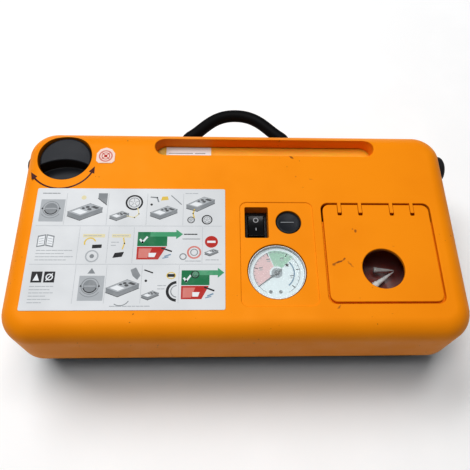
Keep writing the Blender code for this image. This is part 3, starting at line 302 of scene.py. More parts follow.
def orange_plastic(name, colour, tint, scuffed):
    """Orange plastic, with or without the dark scuffs on the cover's top."""
    made = moulded(name, colour, tint, 0.5, specks=0.55, specular=0.32)
    tree = made.node_tree
    shader = tree.nodes["Principled BSDF"]
    shader.inputs["Specular Tint"].default_value = (1.0, 0.62, 0.25, 1.0)
    if not scuffed:
        return made
    place = node(tree, "ShaderNodeTexCoord").outputs["Object"]
    wobble = node(tree, "ShaderNodeTexNoise", {"Vector": place, "Scale": 420.0, "Detail": 2.0})
    shift = vector_maths(tree, 'SUBTRACT', {0: wobble.outputs["Color"], 1: (0.5, 0.5, 0.5)})
    shift = vector_maths(tree, 'SCALE', {0: shift, "Scale": 2.6 * MM})
    rough_place = vector_maths(tree, 'ADD', {0: place, 1: shift})
    plain = shader.inputs["Base Color"].links[0].from_socket
    total = 0.0
    for (x, y), half_long, half_wide, turn, strength in SCUFFS:
        local = node(tree, "ShaderNodeMapping",
                     {"Vector": rough_place, "Location": (x * MM, y * MM, TOP),
                      "Rotation": (0, 0, radians(turn)),
                      "Scale": (half_long * MM, half_wide * MM, 8 * MM)},
                     vector_type='TEXTURE').outputs["Vector"]
        length = vector_maths(tree, 'LENGTH', {0: local}, "Value")
        total = maths(tree, 'MAXIMUM', total, spread(tree, length, 0.35, 1.1, strength, 0.0))
    feed(tree, shader.inputs["Base Color"], mixed(tree, total, plain, rgba((0.17, 0.05, 0.02))))
    return made


ORANGE = orange_plastic("orange_cover", (0.86, 0.295, 0.004), (0.82, 0.272, 0.003), True)
# the tray is the cover's orange plastic, darkened to a deep red as painted shade for the dim compartment under the
# flap
ORANGE_TRAY_PAINTED_SHADE = orange_plastic("orange_tray_painted_shade", (0.50, 0.030, 0.003), (0.40, 0.020, 0.002), False)
BLACK = moulded("black_shell", (0.018, 0.018, 0.02), (0.026, 0.026, 0.028), 0.5, 1700.0, 0.05 * MM,
                0.35, (0.16, 0.15, 0.13), 0.15)
KNOB_BLACK = moulded("knob_black", (0.015, 0.017, 0.022), (0.020, 0.023, 0.029), 0.34, 2600.0,
                     0.012 * MM, 0.25, (0.14, 0.13, 0.12), 0.13)
GLOSS_BLACK = moulded("switch_black", (0.006, 0.006, 0.007), (0.009, 0.009, 0.011), 0.2, 3000.0,
                      0.01 * MM, 0.2, (0.15, 0.15, 0.15), 0.25)
RUBBER = moulded("black_rubber", (0.004, 0.004, 0.0045), (0.007, 0.007, 0.0075), 0.5, 1300.0,
                 0.03 * MM, 0.3, (0.06, 0.05, 0.045), 0.07)
FLASK = moulded("amber_flask", (0.86, 0.42, 0.03), (0.80, 0.35, 0.02), 0.38, 700.0, 0.05 * MM)
NYLON = moulded("white_nylon", (0.72, 0.71, 0.66), (0.64, 0.62, 0.56), 0.48, 1500.0, 0.04 * MM)
VINYL = moulded("label_vinyl", (0.62, 0.635, 0.65), (0.57, 0.585, 0.60), 0.4, 600.0, 0.02 * MM)
DIAL = moulded("dial_white", (0.84, 0.87, 0.89), (0.80, 0.83, 0.85), 0.55, 1500.0, 0.01 * MM)
STEEL = metal("drawn_steel", (0.58, 0.58, 0.6), 0.32, (0.05, 1.0, 1.0))
ALUMINIUM = metal("cast_aluminium", (0.63, 0.63, 0.64), 0.45, scale=500.0)
BRASS = metal("turned_brass", (0.78, 0.56, 0.25), 0.28, (0.1, 1.0, 1.0))
LENS = clear("lens_acrylic", 0.08, 0.01 * MM, 60.0, 0.03, 0.4)
FILM = clear("bag_film", 0.16, 0.3 * MM, 140.0, 0.015, 0.5)
NOZZLE = moulded("nozzle_white", (0.9, 0.9, 0.88), (0.86, 0.86, 0.84), 0.25, 1500.0, 0.02 * MM)
GAUGE_STEEL = moulded("gauge_steel", (0.62, 0.63, 0.65), (0.56, 0.57, 0.59), 0.4, 900.0, 0.01 * MM)
GAUGE_STEEL.node_tree.nodes["Principled BSDF"].inputs["Metallic"].default_value = 0.45
NEEDLE = moulded("needle_grey", (0.20, 0.205, 0.215), (0.24, 0.245, 0.25), 0.4, 2000.0, 0.01 * MM)

FLASK.node_tree.nodes["Principled BSDF"].inputs["Subsurface Weight"].default_value = 0.5
FLASK.node_tree.nodes["Principled BSDF"].inputs["Subsurface Scale"].default_value = 6 * MM

SLOT_LOOK = {
    "orange_plastic": ORANGE, "black_plastic": BLACK, "gloss_black": GLOSS_BLACK,
    "black_rubber": RUBBER, "steel": STEEL, "cast_aluminium": ALUMINIUM, "brass": BRASS,
    "white_nylon": NYLON, "amber_polyethylene": FLASK, "label_vinyl": VINYL, "dial_white": DIAL,
    "clear_acrylic": LENS, "clear_film": FILM,
}


def dress_frame():
    """Give each CAD node the procedural material of its slot; the compartment tray gets the orange darkened as
    painted shade.
    """
    for part in frame["record"]["subparts"]:
        piece = frame["nodes"][part["node"]]
        piece.data.materials.clear()
        piece.data.materials.append(ORANGE_TRAY_PAINTED_SHADE if part["node"] == "compartment_tray"
                                    else SLOT_LOOK[part["material_slot"]])


# ---------------------------------------------------------------- mesh helpers
def from_bmesh(name, shape, look=None, sharp=35):
    """Turn a bmesh into an object, smooth except at edges sharper than the angle."""
    bmesh.ops.recalc_face_normals(shape, faces=shape.faces)
    mesh = bpy.data.meshes.new(name)
    shape.to_mesh(mesh)
    shape.free()
    made = bpy.data.objects.new(name, mesh)
    bpy.context.scene.collection.objects.link(made)
    if look is not None:
        mesh.materials.append(look)
    smooth(made, sharp)
    return made


def smooth(made, sharp):
    """Shade smooth with sharp edges kept."""
    made.data.shade_smooth()
    made.data.set_sharp_from_angle(angle=radians(sharp))


def settle(made, sharp=SHARP):
    """Weight normals by face area, so that flat faces stay flat up to their fillets."""
    smooth(made, sharp)
    made.modifiers.new("weighted", 'WEIGHTED_NORMAL').keep_sharp = True
    return made


def mm(points):
    """Points given in millimetres."""
    return [(a * MM, b * MM) for a, b in points]


def rounded(cx, cy, hx, hy, corner, z, steps=12):
    """A rounded rectangle, counter-clockwise."""
    corner = max(min(corner, hx, hy), 0.02 * MM)
    points = []
    for sx, sy, first in ((1, 1, 0), (-1, 1, 90), (-1, -1, 180), (1, -1, 270)):
        for step in range(steps + 1):
            angle = radians(first + 90 * step / steps)
            points.append((cx + sx * (hx - corner) + corner * cos(angle),
                           cy + sy * (hy - corner) + corner * sin(angle), z))
    return points


def bridge(shape, lower, upper):
    """Faces between two rings of vertices with equal counts."""
    for i in range(len(lower)):
        j = (i + 1) % len(lower)
        shape.faces.new((lower[i], lower[j], upper[j], upper[i]))


def stack(shape, rings):
    """Add a closed solid through a stack of rings with equal counts."""
    levels = [[shape.verts.new(point) for point in ring] for ring in rings]
    for lower, upper in zip(levels, levels[1:]):
        bridge(shape, lower, upper)
    shape.faces.new(levels[0])
    shape.faces.new(levels[-1])


def loft(name, rings, look, sharp=35):
    """A closed solid through a stack of rings, as an object."""
    shape = bmesh.new()
    stack(shape, rings)
    bmesh.ops.remove_doubles(shape, verts=shape.verts, dist=0.001 * MM)
    return from_bmesh(name, shape, look, sharp)


def lathe(name, profile, place, look, sides=64, axis=(0, 0, 1)):
    """A turned solid: (radius, height) points along its outside; radius 0 closes an end."""
    shape = bmesh.new()
    turn = Vector((0, 0, 1)).rotation_difference(Vector(axis)).to_matrix()
    levels = []
    for radius, height in profile:
        angles = [2 * pi * i / sides for i in range(sides)] if radius else [0.0]
        levels.append([shape.verts.new(turn @ Vector((radius * cos(a), radius * sin(a), height))
                                       + Vector(place)) for a in angles])
    for lower, upper in zip(levels, levels[1:]):
        if len(lower) == len(upper):
            bridge(shape, lower, upper)
            continue
        for i in range(sides):
            j = (i + 1) % sides
            if len(lower) == 1:
                shape.faces.new((lower[0], upper[j], upper[i]))
            else:
                shape.faces.new((lower[i], lower[j], upper[0]))
    for level in (levels[0], levels[-1]):
        if len(level) > 1 and profile[0] != profile[-1]:
            shape.faces.new(level)
    if profile[0] == profile[-1]:
        bmesh.ops.remove_doubles(shape, verts=shape.verts, dist=0.001 * MM)
    return from_bmesh(name, shape, look)


def fillet_steps(radius, steps=5):
    """(outward, upward) offsets of a fillet that flares from a vertical wall to a flat top."""
    angles = [pi / 2 * i / steps for i in range(steps + 1)]
    return [(radius * (1 - cos(a)), radius * sin(a) - radius) for a in angles]


def shoulder(radius, top, fillet, steps):
    """A rounded outer edge of a turned profile, from its top face down to its wall."""
    return [(radius - out, top + up) for out, up in fillet_steps(fillet, steps)[::-1]]


def pocket(name, cx, cy, hx, hy, corner, depth, top, fillet=0.5 * MM):
    """A cutter for a pocket with a filleted rim."""
    rings = [rounded(cx, cy, hx, hy, corner, top - depth)]
    for out, up in fillet_steps(fillet) + [(fillet, OVER)]:
        rings.append(rounded(cx, cy, hx + out, hy + out, corner + out, top + up))
    return loft(name, rings, None)


def bore(name, cx, cy, radius, depth, top, fillet=0.5 * MM, sides=72):
    """A cutter for a round hole with a filleted rim."""
    profile = [(radius, -depth)] + [(radius + out, up) for out, up in fillet_steps(fillet)]
    profile.append((radius + fillet, OVER))
    return lathe(name, profile, (cx, cy, top), None, sides)


def block(name, low, high, look=None, corner=0.0, steps=3, edges="all"):
    """A box with its edges rounded."""
    low, high = Vector(low), Vector(high)
    shape = bmesh.new()
    bmesh.ops.create_cube(shape, size=1.0)
    bmesh.ops.scale(shape, vec=high - low, verts=shape.verts)
    bmesh.ops.translate(shape, vec=(low + high) / 2, verts=shape.verts)
    if corner > 0:
        chosen = shape.edges[:]
        if edges == "vertical":
            chosen = [e for e in chosen
                      if abs(e.verts[0].co.z - e.verts[1].co.z) > (high.z - low.z) / 2]
        bmesh.ops.bevel(shape, geom=chosen, offset=corner, segments=steps, profile=0.5,
                        affect='EDGES', clamp_overlap=True)
    return from_bmesh(name, shape, look)


def carve(target, tools, operation='DIFFERENCE'):
    """Cut or join tools with a target, apply the result and drop the tools."""
    for tool in tools:
        step = target.modifiers.new(tool.name, 'BOOLEAN')
        step.object = tool
        step.operation = operation
        step.solver = 'EXACT'
    bpy.context.view_layer.update()
    evaluated = target.evaluated_get(bpy.context.evaluated_depsgraph_get())
    mesh = bpy.data.meshes.new_from_object(evaluated)
    target.modifiers.clear()
    target.data = mesh
    for tool in tools:
        bpy.data.objects.remove(tool, do_unlink=True)
    return target


def tube(name, points, radius, look, resolution):
    """A round tube along points, as a mesh of rings."""
    points = [Vector(point) for point in points]
    sides = resolution * 4
    rings = []
    up = Vector((0, 0, 1))
    for i, point in enumerate(points):
        ahead = points[min(i + 1, len(points) - 1)] - points[max(i - 1, 0)]
        side = ahead.cross(up)
        if side.length < 1e-9:
            side = Vector((1, 0, 0))
        side.normalize()
        lift = side.cross(ahead).normalized()
        rings.append([tuple(point + side * radius * cos(2 * pi * k / sides)
                            + lift * radius * sin(2 * pi * k / sides))
                      for k in range(sides)])
    return loft(name, rings, look)


def bezier(start, first, second, end, steps):
    """Points of a cubic curve in the plane."""
    points = []
    for i in range(steps + 1):
        t = i / steps
        weights = ((1 - t) ** 3, 3 * t * (1 - t) ** 2, 3 * t * t * (1 - t), t ** 3)
        points.append(tuple(sum(w * p[axis] for w, p in zip(weights, (start, first, second, end)))
                            for axis in (0, 1)))
    return points


def put(piece, body, slot, *replaced):
    """Let a piece ride on a body and hide the CAD nodes it stands for; the slot is not used."""
    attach(piece, body)
    if replaced:
        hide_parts(*replaced)
    return piece


# ---------------------------------------------------------------- cover
def plan_ring(inset, z, rear_inset, rear_z):
    """One level of the case outline, with its own inset and height along the rear."""
    corner = max(plan_corner - inset, 3 * MM)
    x = half_length - inset
    front = -half_depth + inset
    rear = half_depth - rear_inset
    ring = []
    for cx, cy, first in ((x - corner, rear - corner, 0), (-x + corner, rear - corner, 90),
                          (-x + corner, front + corner, 180), (x - corner, front + corner, 270)):
        for step in range(CORNER_STEPS + 1):
            turn = step / CORNER_STEPS
            angle = radians(first + 90 * turn)
            share = {0: turn, 90: 1 - turn}.get(first, 0.0)   # how far towards the rear
            ring.append((cx + corner * cos(angle), cy + corner * sin(angle),
                         z + (rear_z - z) * share))
    return ring


def dome(name, inset, top, bottom, radius, rear_radius, look, edge_steps):
    """A closed box with a rounded top edge."""
    rings = []
    for step in range(edge_steps + 1):
        angle = pi / 2 * step / edge_steps
        flat, drop = 1 - sin(angle), 1 - cos(angle)
        rings.append(plan_ring(inset + radius * flat, top - radius * drop,
                               inset + rear_radius * flat, top - rear_radius * drop))
    for side, z in ((inset, bottom + 0.6 * MM), (inset + 0.35 * MM, bottom)):
        rings.append(plan_ring(side, z, side, z))
    return loft(name, rings, look)


def make_cover():
    """The orange cover: shell with wells, collars and filleted openings."""
    cover = dome("cover_shell", 0.0, TOP, SPLIT, edge_radius, rear_edge_radius, ORANGE, 14)
    inner = dome("cover_cavity", cover_wall, TOP - cover_wall, SPLIT - 6 * MM,
                 edge_radius - cover_wall, rear_edge_radius - cover_wall, None, 6)
    wall = COLLAR_WALL
    opening_low = flap_low.y - flap_gap
    opening_high = flap_high.y + flap_gap
    opening_y = (opening_low + opening_high) / 2
    opening_hx = (flap_high.x - flap_low.x) / 2 + flap_gap
    opening_hy = (opening_high - opening_low) / 2
    sx, sy = switch_middle.x, switch_middle.y
    roof = TOP + OVER
    islands = [
        lathe("well_island", [(well_radius + wall, -well_depth - wall), (well_radius + wall, OVER)],
              (knob_middle.x, knob_middle.y, TOP), None),
        loft("slot_island", [rounded(slot_middle.x, slot_middle.y, slot_length / 2 + wall,
                                     slot_width / 2 + wall, slot_width, z)
                             for z in (TOP - slot_depth, roof)], None),
        block("switch_island", (sx - 9.7 * MM, sy - 13.3 * MM, TOP - 10.6 * MM),
              (sx + 9.7 * MM, sy + 13.3 * MM, roof)),
        lathe("gauge_island", [(GAUGE_HOLE + wall, -8 * MM), (GAUGE_HOLE + wall, OVER)],
              (gauge_middle.x, gauge_middle.y, TOP), None),
        loft("flap_skirt", [rounded(flap_x, opening_y, opening_hx + wall, opening_hy + wall,
                                    6.9 * MM, z) for z in (TOP - skirt_depth, roof)], None),
    ]
    carve(inner, islands)
    carve(cover, [inner])

    opening = pocket("flap_opening", flap_x, opening_y, opening_hx, opening_hy, 5 * MM, 20 * MM,
                     TOP, 0.55 * MM)
    lugs = []
    for i, offset in enumerate(lug_offsets):
        lugs.append(block("lug_%d" % i,
                          (flap_x + offset - lug_width / 2, 7.7 * MM, TOP - skirt_depth + 0.3 * MM),
                          (flap_x + offset + lug_width / 2, opening_high + 2 * MM, TOP + 6 * MM),
                          corner=0.35 * MM, steps=2, edges="vertical"))
    carve(opening, lugs)
    ledge_top = TOP - 2.7 * MM
    ledge = block("ledge", (flap_x - opening_hx - 1 * MM, opening_low - 1 * MM,
                            ledge_top - LEDGE_THICKNESS),
                  (flap_x + opening_hx + 1 * MM, LEDGE_REAR, ledge_top))
    window_hx = opening_hx - LEDGE_WIDTH
    window_low = opening_low + LEDGE_WIDTH
    window_high = 2 * LEDGE_REAR
    carve(ledge, [pocket("ledge_window", flap_x, (window_low + window_high) / 2, window_hx,
                         (window_high - window_low) / 2, 2.4 * MM, 6 * MM, ledge_top, 0.2 * MM)])
    carve(opening, [ledge])
    panel = pocket("panel_recess", panel_middle.x, panel_middle.y, panel_size.x / 2,
                   panel_size.y / 2, 4.5 * MM, panel_sink, TOP, 0.55 * MM)
    carve(cover, [opening, panel])
    # bring the tops of the lugs back down to the cover's face
    carve(cover, [block("lug_trim", (flap_x - 40 * MM, 0, TOP), (flap_x + 40 * MM, 30 * MM,
                                                                   TOP + 10 * MM))])
    cuts = [
        bore("well", knob_middle.x, knob_middle.y, well_radius, well_depth, TOP, 0.6 * MM),
        bore("spindle_hole", knob_middle.x, knob_middle.y, 4.4 * MM, 24 * MM, TOP - 10 * MM,
             0.1 * MM),
        pocket("sight_slot", slot_middle.x, slot_middle.y, slot_length / 2, slot_width / 2,
               slot_width / 2, 30 * MM, TOP, 0.9 * MM),
        pocket("switch_pocket", sx, sy, 7.8 * MM, 11.4 * MM, 0.9 * MM, 8.5 * MM, panel_top,
               0.35 * MM),
        block("switch_cutout", (sx - 6.8 * MM, sy - 9.9 * MM, TOP - 16 * MM),
              (sx + 6.8 * MM, sy + 9.9 * MM, TOP - 5 * MM)),
        bore("button_hole", button_middle.x, button_middle.y, BUTTON_HOLE, 6 * MM, panel_top,
             0.45 * MM),
        bore("gauge_hole", gauge_middle.x, gauge_middle.y, GAUGE_HOLE, 12 * MM, panel_top,
             0.45 * MM, 96),
    ]
    for side, name in ((-1, "left"), (1, "right")):
        handle = middle("handle_bezel_" + name)
        cuts.append(lathe("handle_hole_" + name, mm([(5.3, -6), (5.3, 2)]),
                          (handle.x, half_depth, handle.z), None, 40, (0, 1, 0)))
        pin = middle("retainer_pin_" + name)
        cuts.append(lathe("pin_hole_" + name, mm([(2.3, -9), (2.3, 3)]),
                          (side * half_length, pin.y, pin.z), None, 32, (side, 0, 0)))
    carve(cover, cuts)
    put(settle(cover), "case", "orange_plastic", "top_cover")


# ---------------------------------------------------------------- base
def make_base():
    """The black base: tapered tray, hose groove, lip under the cover and a locating tongue."""
    levels = [   # inset, corner radius and height in millimetres
        (9.8, 13.4, 0), (9.0, 14.0, 0.5), (7.2, 15.0, 2.5), (4.6, 16.8, 16.6), (4.2, 17.0, 17.5),
        (4.7, 16.6, 18.0), (12.2, 27.3, 18.0), (12.5, 27.5, 18.4), (12.5, 27.5, 28.6),
        (12.2, 27.3, 29.0), (1.1, 19.0, 29.0), (0.8, 19.2, 29.3), (0.8, 19.2, 31.4),
        (1.1, 19.0, 31.7), (2.8, 17.2, 31.7), (2.8, 17.2, 36.0), (4.6, 15.4, 36.0),
        (4.6, 15.4, 31.7), (14.9, 25.1, 31.7), (14.9, 25.1, 15.6), (7.2, 15.0, 15.6),
        (11.4, 12.0, 2.4),
    ]
    base = loft("base_tray", [rounded(0, 0, half_length - inset * MM, half_depth - inset * MM,
                                      corner * MM, z * MM, 14)
                              for inset, corner, z in levels], BLACK)
    pillars, bores = [], []
    for name in ("front_left", "rear_left", "front_right", "rear_right"):
        screw = middle("case_screw_" + name)
        pillars.append(lathe("pillar_" + name, mm([(5, 1.2), (5, 34)]), (screw.x, screw.y, 0),
                             None, 32))
        bores.append(lathe("counterbore_" + name, mm([(4.7, -2), (4.7, 0), (4.2, 0.5), (4.2, 6),
                                                      (2.1, 6), (2.1, 40)]),
                           (screw.x, screw.y, 0), None, 32))
        pad = middle("rubber_pad_" + name)
        bores.append(loft("pad_pocket_" + name,
                          [rounded(pad.x, pad.y, 12.3 * MM, 7.3 * MM, 4 * MM, z)
                           for z in (-2 * MM, 1.3 * MM)], None))
    gland = middle("lead_gland")
    bores.append(lathe("gland_hole", mm([(4.8, -16), (4.8, 4)]),
                       (gland.x, half_depth, 9 * MM), None, 32, (0, 1, 0)))
    carve(base, pillars, 'UNION')
    carve(base, bores)
    put(settle(base, 32), "case", "black_plastic", "base_shell")


# ---------------------------------------------------------------- flap
def make_flap():
    """The compartment flap with its finger hole, hinge notches and knuckles."""
    cx = flap_x
    rear = 13.9 * MM
    cy = (flap_low.y + rear) / 2
    hx = (flap_high.x - flap_low.x) / 2
    hy = (rear - flap_low.y) / 2
    low = TOP - 2.4 * MM
    rings = [rounded(cx, cy, hx - 0.25 * MM, hy - 0.25 * MM, 4.75 * MM, low),
             rounded(cx, cy, hx, hy, 5 * MM, low + 0.25 * MM)]
    rings += [rounded(cx, cy, hx - out, hy - out, 4.7 * MM, TOP + up)
              for out, up in fillet_steps(0.6 * MM)]
    flap = loft("flap_plate", rings, ORANGE)
    hinge = Vector((cx, 10.5 * MM, TOP - 2.3 * MM))
    notch = lug_width / 2 + 0.3 * MM
    knuckles, cuts = [], []
    for side in (-1, 1):
        near = side * (lug_offsets[2] + notch)
        far = side * (lug_offsets[3] - notch)
        knuckles.append(lathe("knuckle_%d" % side, [(2.15 * MM, min(near, far)),
                                                    (2.15 * MM, max(near, far))], hinge, None, 40,
                              (1, 0, 0)))
        ends = sorted((side * 8 * MM, side * 28 * MM))
        cuts.append(lathe("knuckle_bore_%d" % side, [(1.3 * MM, ends[0]), (1.3 * MM, ends[1])],
                          hinge, None, 24, (1, 0, 0)))
    carve(flap, knuckles, 'UNION')
    cuts.append(bore("finger_hole", cx, FINGER_HOLE_Y, FINGER_HOLE, 8 * MM, TOP, 0.7 * MM, 96))
    for i, offset in enumerate(lug_offsets):
        cuts.append(pocket("notch_%d" % i, cx + offset, 12.7 * MM, notch, 7 * MM, 0.7 * MM, 8 * MM,
                           TOP, 0.3 * MM))
    carve(flap, cuts)
    put(settle(flap), "flap", "orange_plastic", "compartment_flap")


# ---------------------------------------------------------------- knob
def make_knob():
    """The recessed black knob with one finger scoop, and the spindle below it."""
    radius = knob_radius
    top = TOP - 3 * MM
    bottom = TOP - 17.4 * MM
    profile = [(0, top)] + shoulder(radius, top, 1.5 * MM, 6)
    profile += [(radius, bottom + 0.4 * MM), (radius - 0.4 * MM, bottom), (4 * MM, bottom),
                (4 * MM, bottom - 12.4 * MM), (0, bottom - 12.4 * MM)]
    knob = lathe("knob_disc", profile, (knob_middle.x, knob_middle.y, 0), KNOB_BLACK, 128)
    scoop_radius = 33 * MM
    floor = TOP - 12.6 * MM
    cut = [(scoop_radius - 1.2 * MM, floor), (scoop_radius - 0.35 * MM, floor + 0.35 * MM),
           (scoop_radius, floor + 1.2 * MM)]
    cut += [(scoop_radius + out, top + up) for out, up in fillet_steps(0.9 * MM)]
    cut.append((scoop_radius + 0.9 * MM, top + OVER))
    carve(knob, [lathe("scoop", cut, (knob_middle.x, knob_middle.y - 0.5 * MM - scoop_radius, 0),
                       None, 256)])
    put(settle(knob), "knob", "black_plastic", "selector_knob")


# ---------------------------------------------------------------- sealant flask
def make_flask():
    """The amber flask seen through the sight slot, with its neck and a date label."""
    low, high = corners("sealant_flask")
    body_left = -62.7 * MM
    flask = block("flask_body", (body_left, low.y, low.z), high, FLASK, 2.6 * MM, 6)
    neck_y = (low.y + high.y) / 2
    neck = lathe("flask_neck", [(9 * MM, low.x), (9 * MM, body_left + 10 * MM)],
                 (0, neck_y, TOP - 32 * MM), None, 48, (1, 0, 0))
    carve(flask, [neck], 'UNION')
    put(settle(flask), "case", "amber_polyethylene", "sealant_flask")
    sheet = Sheet(Vector((0, slot_middle.y, high.z)))
    sheet.box("white", -52, -5.2, -19.5, 7.2)
    for start, end, height in ((-50, -46.5, 1.5), (-45.5, -40.5, 1.5), (-39.4, -36.6, 1.5),
                               (-35.6, -31, 1.5), (-30, -23, 1.4)):
        sheet.box("dark", start, -2.4, end, -2.4 + height, 1)
    sheet.stroke("grey", [(-50, 1.9), (-33, 1.9)], 0.6, 1)
    sheet.stroke("grey", [(-31, 1.9), (-24, 1.9)], 0.6, 1)
    sheet.box("yellow", -57.5, -6.2, -52.6, 6.5)
    sheet.print("date_label", "case", "label_vinyl")


# ---------------------------------------------------------------- printing
INKS = {
    "white": ink("ink_white", (0.74, 0.76, 0.78), 0.03),
    "faint": ink("ink_faint", (0.46, 0.48, 0.50), 0.05),
    "pale": ink("ink_pale", (0.41, 0.43, 0.45), 0.05),
    "grey": ink("ink_grey", (0.25, 0.265, 0.28), 0.06),
    "slate": ink("ink_slate", (0.10, 0.105, 0.11), 0.05),
    "dark": ink("ink_dark", (0.022, 0.023, 0.026), 0.02),
    "green": ink("ink_green", (0.012, 0.185, 0.075), 0.03),
    "mint": ink("ink_mint", (0.07, 0.33, 0.17), 0.05),
    "red": ink("ink_red", (0.46, 0.028, 0.020), 0.03),
    "rose": ink("ink_rose", (0.62, 0.22, 0.19), 0.05),
    "yellow": ink("ink_yellow", (0.68, 0.50, 0.10), 0.05),
    "cream": ink("ink_cream", (0.70, 0.64, 0.42), 0.05),
    "sky": ink("ink_sky", (0.22, 0.32, 0.42), 0.05),
    "sage": ink("ink_sage", (0.42, 0.62, 0.49), 0.05),
    "blush": ink("ink_blush", (0.84, 0.58, 0.58), 0.05),
    "brown": ink("brown_ink", (0.075, 0.010, 0.006), 0.04),
}
FILM_STEP = 0.014 * MM     # each printed layer stands this much above the one below


def polar(u, v, radius, degrees):
    """The point at a distance and an angle from (u, v)."""
    return u + radius * cos(radians(degrees)), v + radius * sin(radians(degrees))


def ellipse(u, v, radius, squash=1.0, steps=36):
    """Points of an ellipse."""
    return [(u + radius * cos(2 * pi * i / steps), v + radius * squash * sin(2 * pi * i / steps))
            for i in range(steps)]


def thin_solid(shape, loops, place, low, high):
    """Add a solid between two heights: one outline, or an outer and an inner of equal counts."""
    levels = [[[shape.verts.new(place(u, v, z)) for u, v in loop] for z in (low, high)]
              for loop in loops]
    if len(loops) == 1:
        bottom, top = levels[0]
        shape.faces.new(top)
        shape.faces.new(bottom[::-1])
        pairs = [(bottom, top)]
    else:
        (out_low, out_high), (in_low, in_high) = levels
        pairs = [(out_low, out_high), (out_high, in_high), (in_high, in_low), (in_low, out_low)]
    for first, second in pairs:
        bridge(shape, first, second)


class Sheet:
    """Thin printed shapes on one plane, in millimetres from an origin, kept apart by ink."""

    def __init__(self, origin):
        self.origin = origin
        self.shapes = {}

    def slab(self, colour, loops, layer):
        """A thin solid in one ink."""
        low = self.origin.z
        thin_solid(self.shapes.setdefault(colour, bmesh.new()), loops,
                   lambda u, v, z: (self.origin.x + u * MM, self.origin.y + v * MM, z),
                   low, low + FILM_STEP * (layer + 1))

    def area(self, colour, outline, layer=0):
        """A filled outline."""
        self.slab(colour, [outline], layer)

    def box(self, colour, left, low, right, high, layer=0):
        """A filled rectangle."""
        self.area(colour, [(left, low), (right, low), (right, high), (left, high)], layer)

    def disc(self, colour, u, v, radius, layer=0, squash=1.0):
        """A filled circle or ellipse."""
        self.area(colour, ellipse(u, v, radius, squash), layer)

    def ring(self, colour, u, v, radius, width, layer=0, squash=1.0):
        """A full ring."""
        self.slab(colour, [ellipse(u, v, radius + width / 2, squash),
                           ellipse(u, v, radius - width / 2, squash)], layer)

    def arc(self, colour, u, v, radius, width, first, last, layer=0):
        """Part of a ring between two angles in degrees."""
        steps = max(int(abs(last - first) / 6), 3)
        angles = [first + (last - first) * i / steps for i in range(steps + 1)]
        outer = [polar(u, v, radius + width / 2, a) for a in angles]
        inner = [polar(u, v, radius - width / 2, a) for a in angles]
        self.area(colour, outer + inner[::-1], layer)

    def stroke(self, colour, points, width, layer=0):
        """A line of straight pieces."""
        for (u0, v0), (u1, v1) in zip(points, points[1:]):
            long = hypot(u1 - u0, v1 - v0)
            du, dv = (u1 - u0) / long * width / 2, (v1 - v0) / long * width / 2
            self.area(colour, [(u0 - du + dv, v0 - dv - du), (u1 + du + dv, v1 + dv - du),
                               (u1 + du - dv, v1 + dv + du), (u0 - du - dv, v0 - dv + du)], layer)

    def print(self, name, body, slot):
        """Turn the shapes into one thin piece per ink."""
        for colour, shape in self.shapes.items():
            piece = from_bmesh(name + "_" + colour, shape, INKS[colour], 20)
            put(piece, body, slot)


def draw_kit(sheet, u, v, length, turn=0.0):
    """A small oblique drawing of the case, its left corner at (u, v)."""
    start = Vector((u, v))
    along = Vector(polar(0, 0, length * 0.38, turn - 21))
    across = Vector(polar(0, 0, length * 0.66, turn + 24))
    drop = Vector((0, -length * 0.14))

    def spot(a, b):
        return tuple(start + along * a + across * b)

    corners_above = [spot(0, 0), spot(1, 0), spot(1, 1), spot(0, 1)]
    edge_below = [tuple(Vector(corner) + drop) for corner in corners_above[:3]]
    sheet.area("grey", edge_below + corners_above[2::-1], 1)
    sheet.area("pale", corners_above, 2)
    sheet.stroke("slate", edge_below, 0.35, 3)
    sheet.stroke("grey", corners_above + corners_above[:1], 0.28, 3)
    sheet.area("white", [spot(0.16, 0.10), spot(0.84, 0.10), spot(0.84, 0.42), spot(0.16, 0.42)], 3)
    for a, b, size in ((0.25, 0.55, 0.045), (0.3, 0.72, 0.055), (0.62, 0.62, 0.06)):
        sheet.disc("slate", *spot(a, b), size * length, 3, 0.62)
    sheet.area("slate", [spot(0.42, 0.78), spot(0.9, 0.78), spot(0.9, 0.93), spot(0.42, 0.93)], 3)


def draw_knob_cell(sheet, u, v, width, height):
    """A shaded cell with the selector knob seen from above."""
    sheet.box("pale", u, v, u + width, v + height, 1)
    cu, cv = u + width * 0.45, v + height * 0.58
    sheet.ring("grey", cu, cv, 5.3, 0.5, 2)
    sheet.disc("grey", cu, cv, 4.2, 2)
    sheet.arc("dark", cu, cv, 4.2, 0.6, 195, 345, 3)
    sheet.box("pale", cu - 3.6, cv - 0.3, cu + 3.6, cv + 0.35, 3)
    for side in (-5.6, 5.6):
        sheet.area("dark", [(cu + side - 0.7, cv - 0.4), (cu + side + 0.7, cv - 0.4),
                            (cu + side, cv + 0.9)], 2)
    sheet.arc("grey", cu, cv, 7.0, 0.4, 215, 325, 2)


def draw_tyre(sheet, u, v, radius, layer=1):
    """A tyre with its rim."""
    sheet.ring("dark", u, v, radius, radius * 0.22, layer)
    sheet.ring("grey", u, v, radius * 0.68, radius * 0.1, layer)
    for spoke in range(5):
        angle = 90 + 72 * spoke
        sheet.stroke("grey", [polar(u, v, radius * 0.14, angle), polar(u, v, radius * 0.6, angle)],
                     0.3, layer)


